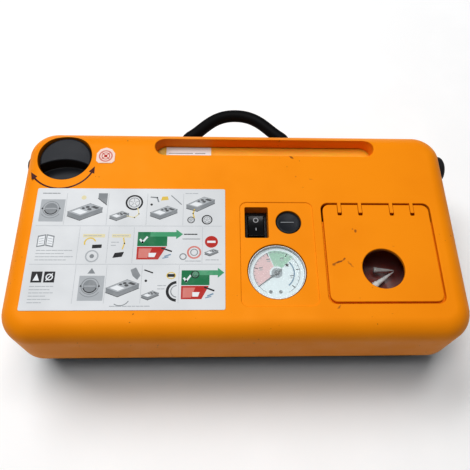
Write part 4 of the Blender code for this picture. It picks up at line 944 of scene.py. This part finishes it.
def draw_result(sheet, u, v, width, height):
    """The good/bad panel: green with a check mark and an arrow above, red with a cross below."""
    low, split = -1, -0.52

    def at(across, up, lift=0.0):
        return u + width * across, v + height * up + lift

    sheet.area("green", [at(0, split), at(1, split), at(1, 0), at(0, 0)], 1)
    sheet.area("mint", [at(0.42, -0.17), at(1.3, -0.17), at(1.3, -0.26), at(1.53, -0.08),
                        at(1.3, 0.09), at(1.3, 0), at(0.42, 0)], 2)
    sheet.stroke("white", [at(0.10, -0.29), at(0.17, -0.38), at(0.31, -0.20)], 1.3, 3)
    sheet.area("red", [at(0, low), at(0.72, low), at(0.98, split, -0.5), at(0, split, -0.5)], 1)
    sheet.area("rose", [at(0.06, low, 1), at(0.36, low, 1), at(0.5, split, -1.6),
                        at(0.06, split, -1.6)], 2)
    sheet.area("white", [at(0.40, low, 1.6), at(0.60, low, 1.6), at(0.66, low, 4.6),
                         at(0.40, low, 4.6)], 3)
    sheet.stroke("dark", [at(0.84, split, -1.5), at(1.15, split, -3.6)], 1.0, 2)
    sheet.stroke("sky", [at(0.95, low, 2.2), at(1.12, low, 3.4)], 0.9, 2)
    sheet.stroke("sky", [at(0.88, low, 0.9), at(1.05, low, 1.7)], 0.7, 2)


def draw_lines(sheet, u, v, lengths, pitch=2.0, colour="pale", weight=0.5):
    """Rows of short strokes that stand for print too small to read."""
    chance = random.Random(SEED + int(u * 7 + v * 3))
    for row, length in enumerate(lengths):
        at = u
        while at < u + length:
            run = min(chance.uniform(1.2, 3.4), u + length - at)
            if run > 0.5:
                level = v - row * pitch
                sheet.stroke(colour, [(at, level), (at + run, level)], weight, 1)
            at += run + 0.8


def make_label():
    """The pictogram label: how to mend and inflate a tyre, drawn without words."""
    label = middle("instruction_label")
    size = extent("instruction_label")
    low, top = (corner[2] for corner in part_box("instruction_label"))
    edge = 0.08 * MM
    rings = [rounded(label.x, label.y, size.x / 2 - inset, size.y / 2 - inset, 1.2 * MM - inset, z)
             for inset, z in ((0, low), (0, top - edge), (edge, top))]
    vinyl = loft("label_sheet", rings, VINYL, 20)
    put(vinyl, "case", "label_vinyl", "instruction_label")

    sheet = Sheet(Vector((label.x, label.y, top)))
    for v in (14.6, -12.6):
        sheet.stroke("faint", [(-60, v), (60, v)], 0.3)
    for v_low, v_high, places in ((15.5, 39, (-42.6, -15.2, 10.6, 34.6)),
                                  (-11.8, 13.8, (-31.5, -12.8, 3.4, 47.6)),
                                  (-38.5, -13.4, (-31.0, -11.8, 10.2, 33.4))):
        for u in places:
            sheet.stroke("faint", [(u, v_low), (u, v_high)], 0.25)

    # upper row: park the knob, take out the hose, fit it to the tyre, plug in, switch on
    draw_knob_cell(sheet, -59, 17.7, 15.6, 16.6)
    draw_kit(sheet, -41, 25.0, 23.5)
    sheet.area("grey", [(-22, 35.2), (-16, 30.2), (-16, 39.2), (-22, 39.2)])
    sheet.stroke("dark", [(-22, 35.2), (-16, 30.2)], 0.4, 1)
    sheet.disc("cream", -31.5, 35.8, 1.6, 1)
    draw_kit(sheet, -13.4, 22.0, 13)
    draw_tyre(sheet, 2, 32.2, 5.2)
    sheet.stroke("cream", [(-2, 22), (2.8, 20.8), (5.6, 23.6), (4.6, 27.8)], 0.7, 2)
    draw_kit(sheet, 13.0, 24.6, 18.5)
    sheet.stroke("grey", [(13, 36.4), (17, 36), (18, 33)], 0.9, 1)
    sheet.disc("dark", 13.5, 30.7, 0.8, 1)
    sheet.area("yellow", [(19.5, 33.8), (24.6, 34.4), (24, 37), (20.4, 36.8)], 1)
    sheet.stroke("grey", [(26.5, 37.6), (33.2, 31.0)], 0.6, 1)
    draw_kit(sheet, 36.6, 30.6, 20, 4)
    sheet.stroke("yellow", [(42, 27), (41.2, 24), (42, 21)], 0.8, 3)
    draw_tyre(sheet, 40, 19.2, 2.2)
    draw_tyre(sheet, 50.5, 19.4, 3.2)
    draw_lines(sheet, -58.5, 39.0, (12,), 2, "grey", 0.6)
    draw_lines(sheet, 36, 39.4, (9,))

    # middle row: the manual, pressure reached or not, drive on
    sheet.area("grey", [(-57.5, 7.3), (-52.4, 8.4), (-52.4, 0.2), (-57.5, -0.8)])
    sheet.area("grey", [(-52.0, 8.4), (-47, 7.3), (-47, -0.8), (-52.0, 0.2)])
    sheet.area("white", [(-56.9, 6.5), (-53.0, 7.5), (-53.0, 1.0), (-56.9, 0.1)], 1)
    sheet.area("white", [(-51.4, 7.5), (-47.6, 6.5), (-47.6, 0.1), (-51.4, 1.0)], 1)
    for step in range(3):
        sheet.stroke("pale", [(-56.2, 5 - 1.7 * step), (-53.7, 5.5 - 1.7 * step)], 0.4, 2)
        sheet.stroke("pale", [(-50.7, 5.5 - 1.7 * step), (-48.2, 5 - 1.7 * step)], 0.4, 2)
    draw_lines(sheet, -57, -3.0, (22, 17, 23, 19), 2.2)
    sheet.box("cream", -29, 6.2, -15, 8.6)
    draw_lines(sheet, -28, 7.4, (11.5,))
    sheet.arc("yellow", -24, 2.2, 3.5, 0.9, 20, 200, 1)
    sheet.area("dark", [(-22.5, -1.6), (-16.5, -1.2), (-16.5, 1.2), (-22.5, 0.9)], 1)
    sheet.ring("pale", -22, -7.0, 3.8, 0.9, 1)
    sheet.disc("grey", -22, -7.0, 1.4, 1)
    sheet.box("cream", -10.5, 6.2, 1.5, 8.6)
    draw_lines(sheet, -9.8, 7.4, (9.8,))
    sheet.stroke("yellow", [(-3, 5.6), (-2.2, 2), (-3.2, -1.8)], 0.8, 1)
    sheet.area("dark", [(-9, -8.2), (-3.2, -7.4), (-2.0, -4.0), (-7.8, -4.8)], 1)
    draw_lines(sheet, -10.5, 2.8, (4.5, 3.5), 2.2)
    draw_result(sheet, 6, 10.2, 19, 19.5)
    draw_lines(sheet, 36, 8.6, (8,), 2, "dark", 0.7)
    sheet.stroke("grey", [(35, 5.2), (46, 5.2)], 0.5, 1)
    sheet.ring("grey", 35.5, -7.3, 2.0, 0.7, 1)
    sheet.ring("rose", 42.5, -4.3, 4.0, 1.1, 1)
    sheet.ring("grey", 42.5, -4.3, 2.2, 0.6, 1)
    draw_lines(sheet, 37, -10.4, (10,))
    sheet.disc("red", 53.5, 3.2, 4.2, 1)
    sheet.box("white", 50.8, 2.4, 56.2, 4.0, 2)
    draw_kit(sheet, 49.3, -4.4, 9)
    draw_lines(sheet, 50, -9.6, (8,))

    # lower row: symbols, knob to inflate, hose on, read the gauge, done
    for start in (-57.6, -49.8):
        sheet.box("dark", start, -24.8, start + 6.6, -17.5)
    sheet.area("white", [(-56.4, -23.6), (-52.4, -23.6), (-54.4, -18.8)], 1)
    sheet.ring("white", -46.5, -21.2, 1.9, 0.8, 1)
    sheet.stroke("white", [(-48.2, -23.4), (-44.8, -19.0)], 0.7, 2)
    draw_lines(sheet, -57.5, -27.4, (14, 12, 15, 10, 13, 8), 2.1)
    sheet.area("grey", [(-23.4, -18.9), (-18.6, -18.9), (-21, -15.2)])
    draw_knob_cell(sheet, -28, -36.8, 15.4, 16.4)
    draw_kit(sheet, -11.2, -28.6, 21)
    sheet.arc("grey", -2, -34, 6, 0.5, 235, 330, 1)
    sheet.area("grey", [(3, -16.4), (6.4, -14.8), (9.4, -20.2), (7.6, -23.2), (4.6, -20.6)], 1)
    sheet.stroke("dark", [(12, -16.6), (16.8, -18.4)], 0.8, 1)
    sheet.disc("dark", 13, -23.8, 0.8, 1)
    draw_kit(sheet, 10.8, -33.4, 11)
    sheet.ring("yellow", 28.5, -20.3, 2.6, 0.7, 1, 0.8)
    sheet.box("dark", 26.2, -21.2, 30.8, -19.3, 2)
    sheet.arc("dark", 32.5, -30.8, 6.0, 1.7, 95, 265, 1)
    sheet.arc("grey", 32.5, -30.8, 3.8, 0.6, 95, 265, 1)
    draw_lines(sheet, 20.5, -27.0, (5, 4), 2.2)
    draw_result(sheet, 35, -16.8, 17.5, 19.2)
    draw_tyre(sheet, 43.5, -19.6, 2.4, 4)
    draw_lines(sheet, -8, -40.4, (24,))
    sheet.print("label_print", "case", "label_vinyl")


def make_cover_marks():
    """The double arrow printed round the front of the knob and the position sticker."""
    sheet = Sheet(Vector((0, 0, TOP)))
    cx, cy, radius = -121.05, 47.9, 22.6
    sheet.arc("brown", cx, cy, radius, 1.15, 218, 336)
    for angle, sense in ((218, -1), (336, 1)):
        at = Vector(polar(cx, cy, radius, angle))
        outward = Vector(polar(0, 0, 1, angle))
        forward = Vector((-outward.y, outward.x)) * sense
        sheet.area("brown", [tuple(at + outward * 2.1 - forward * 0.8),
                             tuple(at + forward * 4.6 - outward * 0.5),
                             tuple(at - outward * 2.1 - forward * 0.8)], 1)
    sheet.print("knob_arrow", "case", "orange_plastic")

    spot = middle("position_sticker")
    low, top = (corner[2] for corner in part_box("position_sticker"))
    outline = [(spot.x + u * MM, spot.y + v * MM) for u, v in
               ((-4.6, -6.4), (4.6, -6.4), (6.3, -4.6), (6.3, 1.6), (3.9, 5.1), (0, 6.5),
                (-3.9, 5.1), (-6.3, 1.6), (-6.3, -4.6))]
    shield = loft("sticker_shield", [[(x, y, z) for x, y in outline] for z in (low, top)],
                  moulded("sticker_vinyl", (0.74, 0.56, 0.50), (0.78, 0.62, 0.55), 0.4, 600.0,
                          0.02 * MM), 20)
    put(shield, "case", "label_vinyl", "position_sticker")
    mark = Sheet(Vector((spot.x, spot.y, top)))
    mark.ring("rose", 0, -0.6, 4.3, 1.0)
    mark.ring("red", 0, -0.6, 2.6, 0.5)
    mark.disc("red", 0, -0.6, 1.1)
    for angle in (45, 135, 225, 315):
        mark.stroke("red", [polar(0, -0.6, 1.4, angle), polar(0, -0.6, 3.6, angle)], 0.4, 1)
    mark.print("sticker_print", "case", "label_vinyl")


# ---------------------------------------------------------------- switch and button
def make_switch():
    """Bezel and body of the rocker switch, the rocker and its O and I marks."""
    bezel_low, bezel_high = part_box("switch_body")
    top = bezel_high[2]
    cx, cy = switch_middle.x, switch_middle.y
    hx, hy = (bezel_high[0] - bezel_low[0]) / 2, (bezel_high[1] - bezel_low[1]) / 2
    rings = [rounded(cx, cy, hx, hy, 0.9 * MM, top - 1.2 * MM, 6)]
    rings += [rounded(cx, cy, hx - out, hy - out, 0.9 * MM, top + up, 6)
              for out, up in fillet_steps(0.5 * MM, 4)]
    bezel = loft("switch_bezel", rings, GLOSS_BLACK)
    body = block("switch_block", (cx - 6.5 * MM, cy - 9.6 * MM, top - 16 * MM),
                 (cx + 6.5 * MM, cy + 9.6 * MM, top - 0.6 * MM))
    carve(bezel, [body], 'UNION')
    carve(bezel, [pocket("window", cx, cy, 5.5 * MM, 8.8 * MM, 0.5 * MM, 9 * MM, top, 0.3 * MM)])
    put(settle(bezel), "case", "gloss_black", "switch_body")

    pivot = joint_place["rocker_tilt"]
    tilt = Matrix.Rotation(radians(-8), 4, 'X')
    half_width, reach = 5.2 * MM, 8.2 * MM
    crest, valley, shoulder_z, foot_z = 3.6 * MM, 2.4 * MM, -0.4 * MM, -4 * MM

    def face_height(y):
        """Height of the rocker's dished face above its pivot."""
        return valley + (crest - valley) * (y / reach) ** 2

    outline = [(reach * i / 4, face_height(reach * i / 4)) for i in range(-4, 5)]
    outline += [(reach, shoulder_z), (3 * MM, foot_z), (-3 * MM, foot_z), (-reach, shoulder_z)]
    shape = bmesh.new()
    stack(shape, [[(x, y, z) for y, z in outline] for x in (-half_width, half_width)])
    bmesh.ops.recalc_face_normals(shape, faces=shape.faces)
    crisp = [e for e in shape.edges if len(e.link_faces) == 2 and e.calc_face_angle() > 0.6]
    bmesh.ops.bevel(shape, geom=crisp, offset=0.35 * MM, segments=3, profile=0.5, affect='EDGES',
                    clamp_overlap=True)
    bmesh.ops.transform(shape, matrix=Matrix.Translation(pivot) @ tilt, verts=shape.verts)
    put(settle(from_bmesh("rocker", shape, GLOSS_BLACK)), "rocker", "gloss_black", "switch_rocker")

    marks = bmesh.new()
    for loops in ([ellipse(0, 4.9, 1.8), ellipse(0, 4.9, 1.3)],
                  [[(-0.28, -3.4), (0.28, -3.4), (0.28, -1.2), (-0.28, -1.2)]]):
        thin_solid(marks, loops, lambda u, v, z: (u * MM, v * MM, face_height(v * MM) + z),
                   -0.05 * MM, 0.04 * MM)
    bmesh.ops.transform(marks, matrix=Matrix.Translation(pivot) @ tilt, verts=marks.verts)
    put(from_bmesh("rocker_marks", marks, INKS["pale"], 20), "rocker", "gloss_black")


def make_button():
    """The dished push button with a thin mark across it."""
    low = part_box("bleed_button")[0][2]
    top = TOP - 1.6 * MM
    radius = 8.1 * MM
    dish = 0.55 * MM
    dish_edge = 0.8   # share of the radius
    profile = [(radius * share, top - dish * (1 - (share / dish_edge) ** 2))
               for share in (0, 0.2, 0.4, 0.6, 0.7, dish_edge)]
    profile += shoulder(radius, top, 0.9 * MM, 4)
    flange_top = TOP - 2.8 * MM
    profile += [(radius, flange_top), (9.6 * MM, flange_top), (9.6 * MM, flange_top - 1.6 * MM),
                (6 * MM, flange_top - 1.6 * MM), (6 * MM, flange_top - 5.6 * MM),
                (2 * MM, flange_top - 5.6 * MM), (2 * MM, low), (0, low)]
    button = lathe("button_cap", profile, (button_middle.x, button_middle.y, 0), KNOB_BLACK, 72)
    put(settle(button), "button", "black_plastic", "bleed_button")
    bar = block("button_bar", (button_middle.x - 5.2 * MM, button_middle.y + 0.1 * MM,
                               top - 0.5 * MM),
                (button_middle.x + 3.8 * MM, button_middle.y + 0.75 * MM, top - 0.04 * MM),
                INKS["grey"], 0.12 * MM, 2)
    put(bar, "button", "black_plastic")


def make_spring():
    """The button's return spring: a steel coil of five turns."""
    low, high = corners("button_spring")
    wire = 0.45 * MM
    coil_radius = (high.x - low.x) / 2 - wire
    steps = 5 * 20   # five turns of twenty steps
    bottom, top = low.z + wire, high.z - wire
    route = [(*polar((low.x + high.x) / 2, (low.y + high.y) / 2, coil_radius, 360 * i / 20),
              bottom + (top - bottom) * i / steps) for i in range(steps + 1)]
    spring = tube("spring_coil", route, wire, STEEL, 3)
    put(spring, "case", "steel", "button_spring")
    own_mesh(spring)


# ---------------------------------------------------------------- gauge
def make_gauge():
    """Case, printed dial, needle and lens of the pressure gauge."""
    cx, cy = gauge_middle.x, gauge_middle.y
    radius = 18.6 * MM
    rim = TOP - 1.5 * MM
    bottom = TOP - 15 * MM
    inner = radius - 0.7 * MM
    profile = [(inner, rim - 0.2 * MM), (inner + 0.2 * MM, rim), (radius - 0.25 * MM, rim),
               (radius, rim - 0.25 * MM), (radius, bottom + 0.5 * MM), (radius - 0.5 * MM, bottom),
               (4 * MM, bottom), (4 * MM, bottom - 5 * MM), (0, bottom - 5 * MM)]
    outer = lathe("gauge_can", profile[::-1] + [(0, rim - 0.3 * MM)], (cx, cy, 0), GAUGE_STEEL,
                  96)
    hollow = lathe("gauge_hollow", [(0, bottom + 1 * MM), (inner, bottom + 1 * MM),
                                    (inner, rim + OVER), (0, rim + OVER)], (cx, cy, 0), None, 96)
    carve(outer, [hollow])
    put(settle(outer), "case", "steel", "gauge_case")

    disc = inner - 0.15 * MM
    dial_top = TOP - 3.7 * MM
    bore_radius = 1.1 * MM
    plate = lathe("dial_plate", [(bore_radius, dial_top), (disc, dial_top),
                                 (disc, dial_top - 0.5 * MM), (bore_radius, dial_top - 0.5 * MM),
                                 (bore_radius, dial_top)], (cx, cy, 0), DIAL, 96)
    put(plate, "case", "dial_white", "gauge_dial")
    sheet = Sheet(Vector((cx, cy, dial_top)))
    sheet.arc("sage", 0, 0, 10.2, 11.0, 45, 110)
    sheet.arc("blush", 0, 0, 10.0, 10.6, 113, 216)
    sheet.disc("pale", 0, 0, 3.5, 1)
    sheet.arc("sky", 0, 0, 11.2, 0.9, -50, 42, 1)
    sheet.arc("pale", 0, 0, 14.9, 0.4, -62, 242, 1)
    for step in range(26):
        angle = 218 - 10.4 * step
        colour, start, weight = ("grey", 13.9, 0.28) if step % 5 else ("dark", 12.9, 0.5)
        sheet.stroke(colour, [polar(0, 0, start, angle), polar(0, 0, 15.0, angle)], weight, 2)
    for u, v in ((6.6, 5.7), (-3.1, -1.8), (3.6, 10.2), (-5.2, 9.4), (-10.4, 3.4), (9.6, -2.0)):
        sheet.stroke("grey", [(u - 0.9, v), (u + 0.9, v + 0.3)], 0.7, 2)
        sheet.stroke("pale", [(u - 0.7, v - 1.3), (u + 1.1, v - 1.2)], 0.5, 2)
    sheet.disc("dark", 6.8, 5.6, 0.9, 3)
    for u in (-4.4, 1.9):
        sheet.disc("grey", u, -12.9, 1.15, 2)
    sheet.print("dial_print", "case", "dial_white")

    lens_top = TOP - 1.7 * MM
    lens = lathe("lens_disc", [(0, lens_top - 0.7 * MM), (disc, lens_top - 0.7 * MM),
                               (disc, lens_top - 0.25 * MM), (disc - 0.25 * MM, lens_top),
                               (0, lens_top)], (cx, cy, 0), LENS, 96)
    put(lens, "case", "clear_acrylic", "gauge_lens")

    low = dial_top + 0.3 * MM
    high = low + 0.35 * MM
    shaft_end = dial_top - 3.8 * MM
    needle = lathe("needle_hub", [(0, high + 0.25 * MM), (1.2 * MM, high + 0.25 * MM),
                                  (1.6 * MM, high), (1.6 * MM, low), (0.7 * MM, low),
                                  (0.7 * MM, shaft_end), (0, shaft_end)], (cx, cy, 0), NEEDLE, 40)
    shape = bmesh.new()
    outline = mm([(-4, -0.55), (-3.2, -0.6), (0, -0.42), (12.6, -0.16), (13, 0), (12.6, 0.16),
                  (0, 0.42), (-3.2, 0.6), (-4, 0.55)])
    stack(shape, [[(x, y, z) for x, y in outline] for z in (low, high)])
    spin = Matrix.Translation((cx, cy, 0)) @ Matrix.Rotation(radians(218), 4, 'Z')
    bmesh.ops.transform(shape, matrix=spin, verts=shape.verts)
    carve(needle, [from_bmesh("needle_blade", shape)], 'UNION')
    smooth(needle, 30)
    put(needle, "needle", "black_plastic", "gauge_needle")


# ---------------------------------------------------------------- bag of adaptors
def make_bag():
    """A crumpled clear bag with a valve adaptor, a ball needle and a nozzle inside."""
    low, high = corners("adaptor_bag")
    centre = (low + high) / 2
    half = (high - low) / 2
    shape = bmesh.new()
    across, along = 56, 48
    skins = []
    for side in (-1, 1):
        grid = []
        for i in range(across + 1):
            u = -1 + 2 * i / across
            row = []
            for j in range(along + 1):
                v = -1 + 2 * j / along
                swell = ((1 - abs(u) ** 2.6) * (1 - abs(v) ** 2.6)) ** 0.55
                at = Vector((u * 2.3, v * 2.1, side * 3.0 + 1.7))
                crease = 1 - abs(noise.noise(at)) * 2.4
                fine = 1 - abs(noise.noise(at * 2.7)) * 2.0
                rise = swell * half.z * (0.62 + 0.36 * crease + 0.16 * fine * crease)
                height = max(min(side * rise, half.z), -half.z)
                shift = noise.noise_vector(at * 1.3) * 2.2 * MM * swell
                row.append(shape.verts.new((centre.x + u * half.x + shift.x,
                                            centre.y + v * half.y + shift.y, centre.z + height)))
            grid.append(row)
        skins.append(grid)
    for grid in skins:
        for row, ahead in zip(grid, grid[1:]):
            for j in range(along):
                shape.faces.new((row[j], ahead[j], ahead[j + 1], row[j + 1]))
    bmesh.ops.remove_doubles(shape, verts=shape.verts, dist=0.02 * MM)
    bag = from_bmesh("film_bag", shape, FILM, 26)
    put(bag, "case", "clear_film", "adaptor_bag")

    for name, start, aim, profile, look, slot in (
            ("valve_nozzle", (0.6, -0.4, 2.6), (1.0, -0.06, 0.05),
             [(0, 0), (1.8, 0), (1.8, 2), (1.5, 2.4), (1.0, 9), (0.25, 14.0), (0, 14.0)],
             NOZZLE, "white_nylon"),
            ("taper_nozzle", (-1.0, -12.6, 2.4), (0.85, 0.58, 0.06),
             [(0, 0), (2.4, 0), (2.4, 3), (2.0, 3.6), (1.2, 11), (0.3, 18.4), (0, 18.4)],
             NOZZLE, "white_nylon"),
            ("ball_needle", (-13.0, 12.0, -1.5), (0.95, 0.2, 0.0),
             [(0, 0), (3.2, 0), (3.2, 3), (1.9, 3.4), (1.9, 8), (0.8, 8.4), (0.8, 26), (0, 26.6)],
             BRASS, "brass")):
        piece = lathe(name, mm(profile), centre + Vector(start) * MM, look, 24,
                      Vector(aim).normalized())
        put(piece, "case", slot)


# ---------------------------------------------------------------- handle, retainers and hose
def make_handle():
    """The rubber carry handle with its heads, and the two bezels in the rear wall."""
    left, right = middle("handle_bezel_left"), middle("handle_bezel_right")
    centre = (left.x + right.x) / 2
    span = (right.x - left.x) / 2
    z = left.z
    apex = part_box("carry_handle")[1][1] - 5 * MM
    wall = half_depth
    foot = wall - 4.8 * MM
    half = [(span, foot), (span, wall)]
    half += bezier((span, wall + 1.9 * MM), (span, wall + 4.5 * MM),
                   (span - 1.3 * MM, wall + 6.9 * MM), (span - 3.4 * MM, wall + 8.5 * MM), 6)
    half += bezier((span - 3.4 * MM, wall + 8.5 * MM), (span - 13.4 * MM, wall + 15.8 * MM),
                   (18 * MM, apex), (0, apex), 20)[1:]
    anchors = [(centre - x, y, z) for x, y in half]
    anchors += [(centre + x, y, z) for x, y in half[-2::-1]]
    handle = tube("handle_loop", anchors, 4.6 * MM, RUBBER, 7)
    heads = [lathe("handle_head_%d" % sign,
                   [(7.5 * MM, wall - 4.9 * MM), (7.5 * MM, wall - 2.8 * MM)],
                   (centre + sign * span, 0, z), None, 40, (0, 1, 0)) for sign in (-1, 1)]
    carve(handle, heads, 'UNION')
    put(settle(handle, 40), "case", "black_rubber", "carry_handle")
    for name, place in (("left", left), ("right", right)):
        profile = [(5.4, 0), (8, 0), (8, 0.8), (7.6, 1.3), (6.9, 1.6), (5.8, 1.6), (5.4, 1.3),
                   (5.4, 0)]
        bezel = lathe("bezel_" + name, mm(profile), (place.x, wall + 0.3 * MM, place.z), BLACK, 48,
                      (0, 1, 0))
        put(settle(bezel), "case", "black_plastic", "handle_bezel_" + name)


def make_retainers():
    """Turn-buttons on the side walls; a finger reaches down over the groove to hold the hose."""
    for name, side, radius, height in (("left", -1, 7.5, 5), ("right", 1, 10, 8)):
        pivot = joint_place["retainer_turn_" + name]
        face = side * (half_length + 0.3 * MM)
        place = (face, pivot.y, TOP - 24 * MM)
        profile = [(0, height), (radius - 4.4, height - 0.25), (radius - 2.6, height - 0.9),
                   (radius - 1.2, height - 1.9), (radius - 0.4, height - 2.9), (radius, height - 4),
                   (radius, 0), (2.4, 0), (2.4, 3), (0, 3)]
        boss = lathe("retainer_boss_" + name, mm(profile), place, BLACK, 56, (side, 0, 0))
        ends = sorted((face, face + side * 3.2 * MM))
        finger = block("retainer_finger_" + name, (ends[0], pivot.y - 6 * MM, TOP - 58 * MM),
                       (ends[1], pivot.y + 6 * MM, TOP - 28 * MM), None, 0.7 * MM, 3)
        carve(boss, [finger], 'UNION')
        put(settle(boss), "retainer_" + name, "black_plastic", "hose_retainer_" + name)


def make_hose():
    """The air hose in its groove, the screw-on connector and the outlet block."""
    low, high = corners("air_hose")
    z = (low.z + high.z) / 2
    x, y, bend = high.x - 4 * MM, high.y - 4 * MM, 32 * MM
    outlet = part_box("hose_outlet")
    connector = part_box("valve_connector")
    start_y = outlet[0][1] - 0.3 * MM
    route = [(x, start_y, z), (x, start_y - 10 * MM, z)]
    for cx, cy, first in ((x - bend, -y + bend, 0), (-x + bend, -y + bend, 270),
                          (-x + bend, y - bend, 180), (x - bend, y - bend, 90)):
        route += [(*polar(cx, cy, bend, first - 90 * step / 18), z) for step in range(19)]
    route += [(x, connector[1][1] + 0.3 * MM, z)]
    hose = tube("hose_line", route, 4 * MM, RUBBER, 6)
    put(hose, "case", "black_rubber", "air_hose")

    profile = [(0, 0), (3.2, 0), (4.0, -0.5), (4.2, -1.4)]
    for ridge in range(7):
        at = -2.4 - ridge * 1.9
        profile += [(4.2, at), (3.9, at - 0.35), (3.9, at - 0.8), (4.2, at - 1.15)]
    profile += [(4.2, -16.1), (3.2, -17.2), (3.2, -26), (0, -26)]
    end = lathe("screw_connector", mm(profile), (x, connector[0][1], z), BRASS, 48, (0, -1, 0))
    put(settle(end, 30), "case", "brass", "valve_connector")
    fitting = block("outlet_block", outlet[0], outlet[1], BLACK, 1.8 * MM, 4)
    put(settle(fitting), "case", "black_plastic", "hose_outlet")


# ---------------------------------------------------------------- stage
def add_area(name, place, aim, size, power):
    """A soft rectangular light that faces a point."""
    data = bpy.data.lights.new(name, 'AREA')
    data.shape = 'RECTANGLE'
    data.size, data.size_y = size
    data.energy = power
    lamp = bpy.data.objects.new(name, data)
    lamp.location = place
    lamp.rotation_euler = (Vector(aim) - Vector(place)).to_track_quat('-Z', 'Y').to_euler()
    bpy.context.scene.collection.objects.link(lamp)


def add_stage():
    """Pale floor, two soft lights from above and behind, and a dim surround that looks pale."""
    add_area("key_light", (-0.76, 0.85, 1.83), (0, 0, 0.05), (1.5, 0.68), 27.0)
    add_area("top_light", (-0.08, 0.18, 2.1), (0, 0.1, 0.05), (1.8, 0.5), 24.0)
    world = bpy.data.worlds.new("surround")
    world.use_nodes = True
    tree = world.node_tree
    seen = node(tree, "ShaderNodeLightPath").outputs["Is Camera Ray"]
    strength = spread(tree, seen, 0.0, 1.0, 0.13, 0.9)
    background = tree.nodes["Background"]
    background.inputs["Color"].default_value = (0.95, 0.97, 1.0, 1.0)
    tree.links.new(strength, background.inputs["Strength"])
    bpy.context.scene.world = world
    bpy.context.scene.view_settings.view_transform = 'Standard'
    bpy.context.scene.view_settings.gamma = 0.84

    shape = bmesh.new()
    bmesh.ops.create_grid(shape, x_segments=1, y_segments=1, size=3.0)
    floor = from_bmesh("floor", shape, moulded("floor_white", (0.93, 0.93, 0.93),
                                               (0.95, 0.95, 0.95), 0.85, 400.0))


add_camera()
dress_frame()
add_stage()
for make in (make_cover, make_base, make_flap, make_knob, make_flask, make_label,
             make_cover_marks, make_switch, make_button, make_spring, make_gauge, make_bag,
             make_handle, make_retainers, make_hose):
    make()
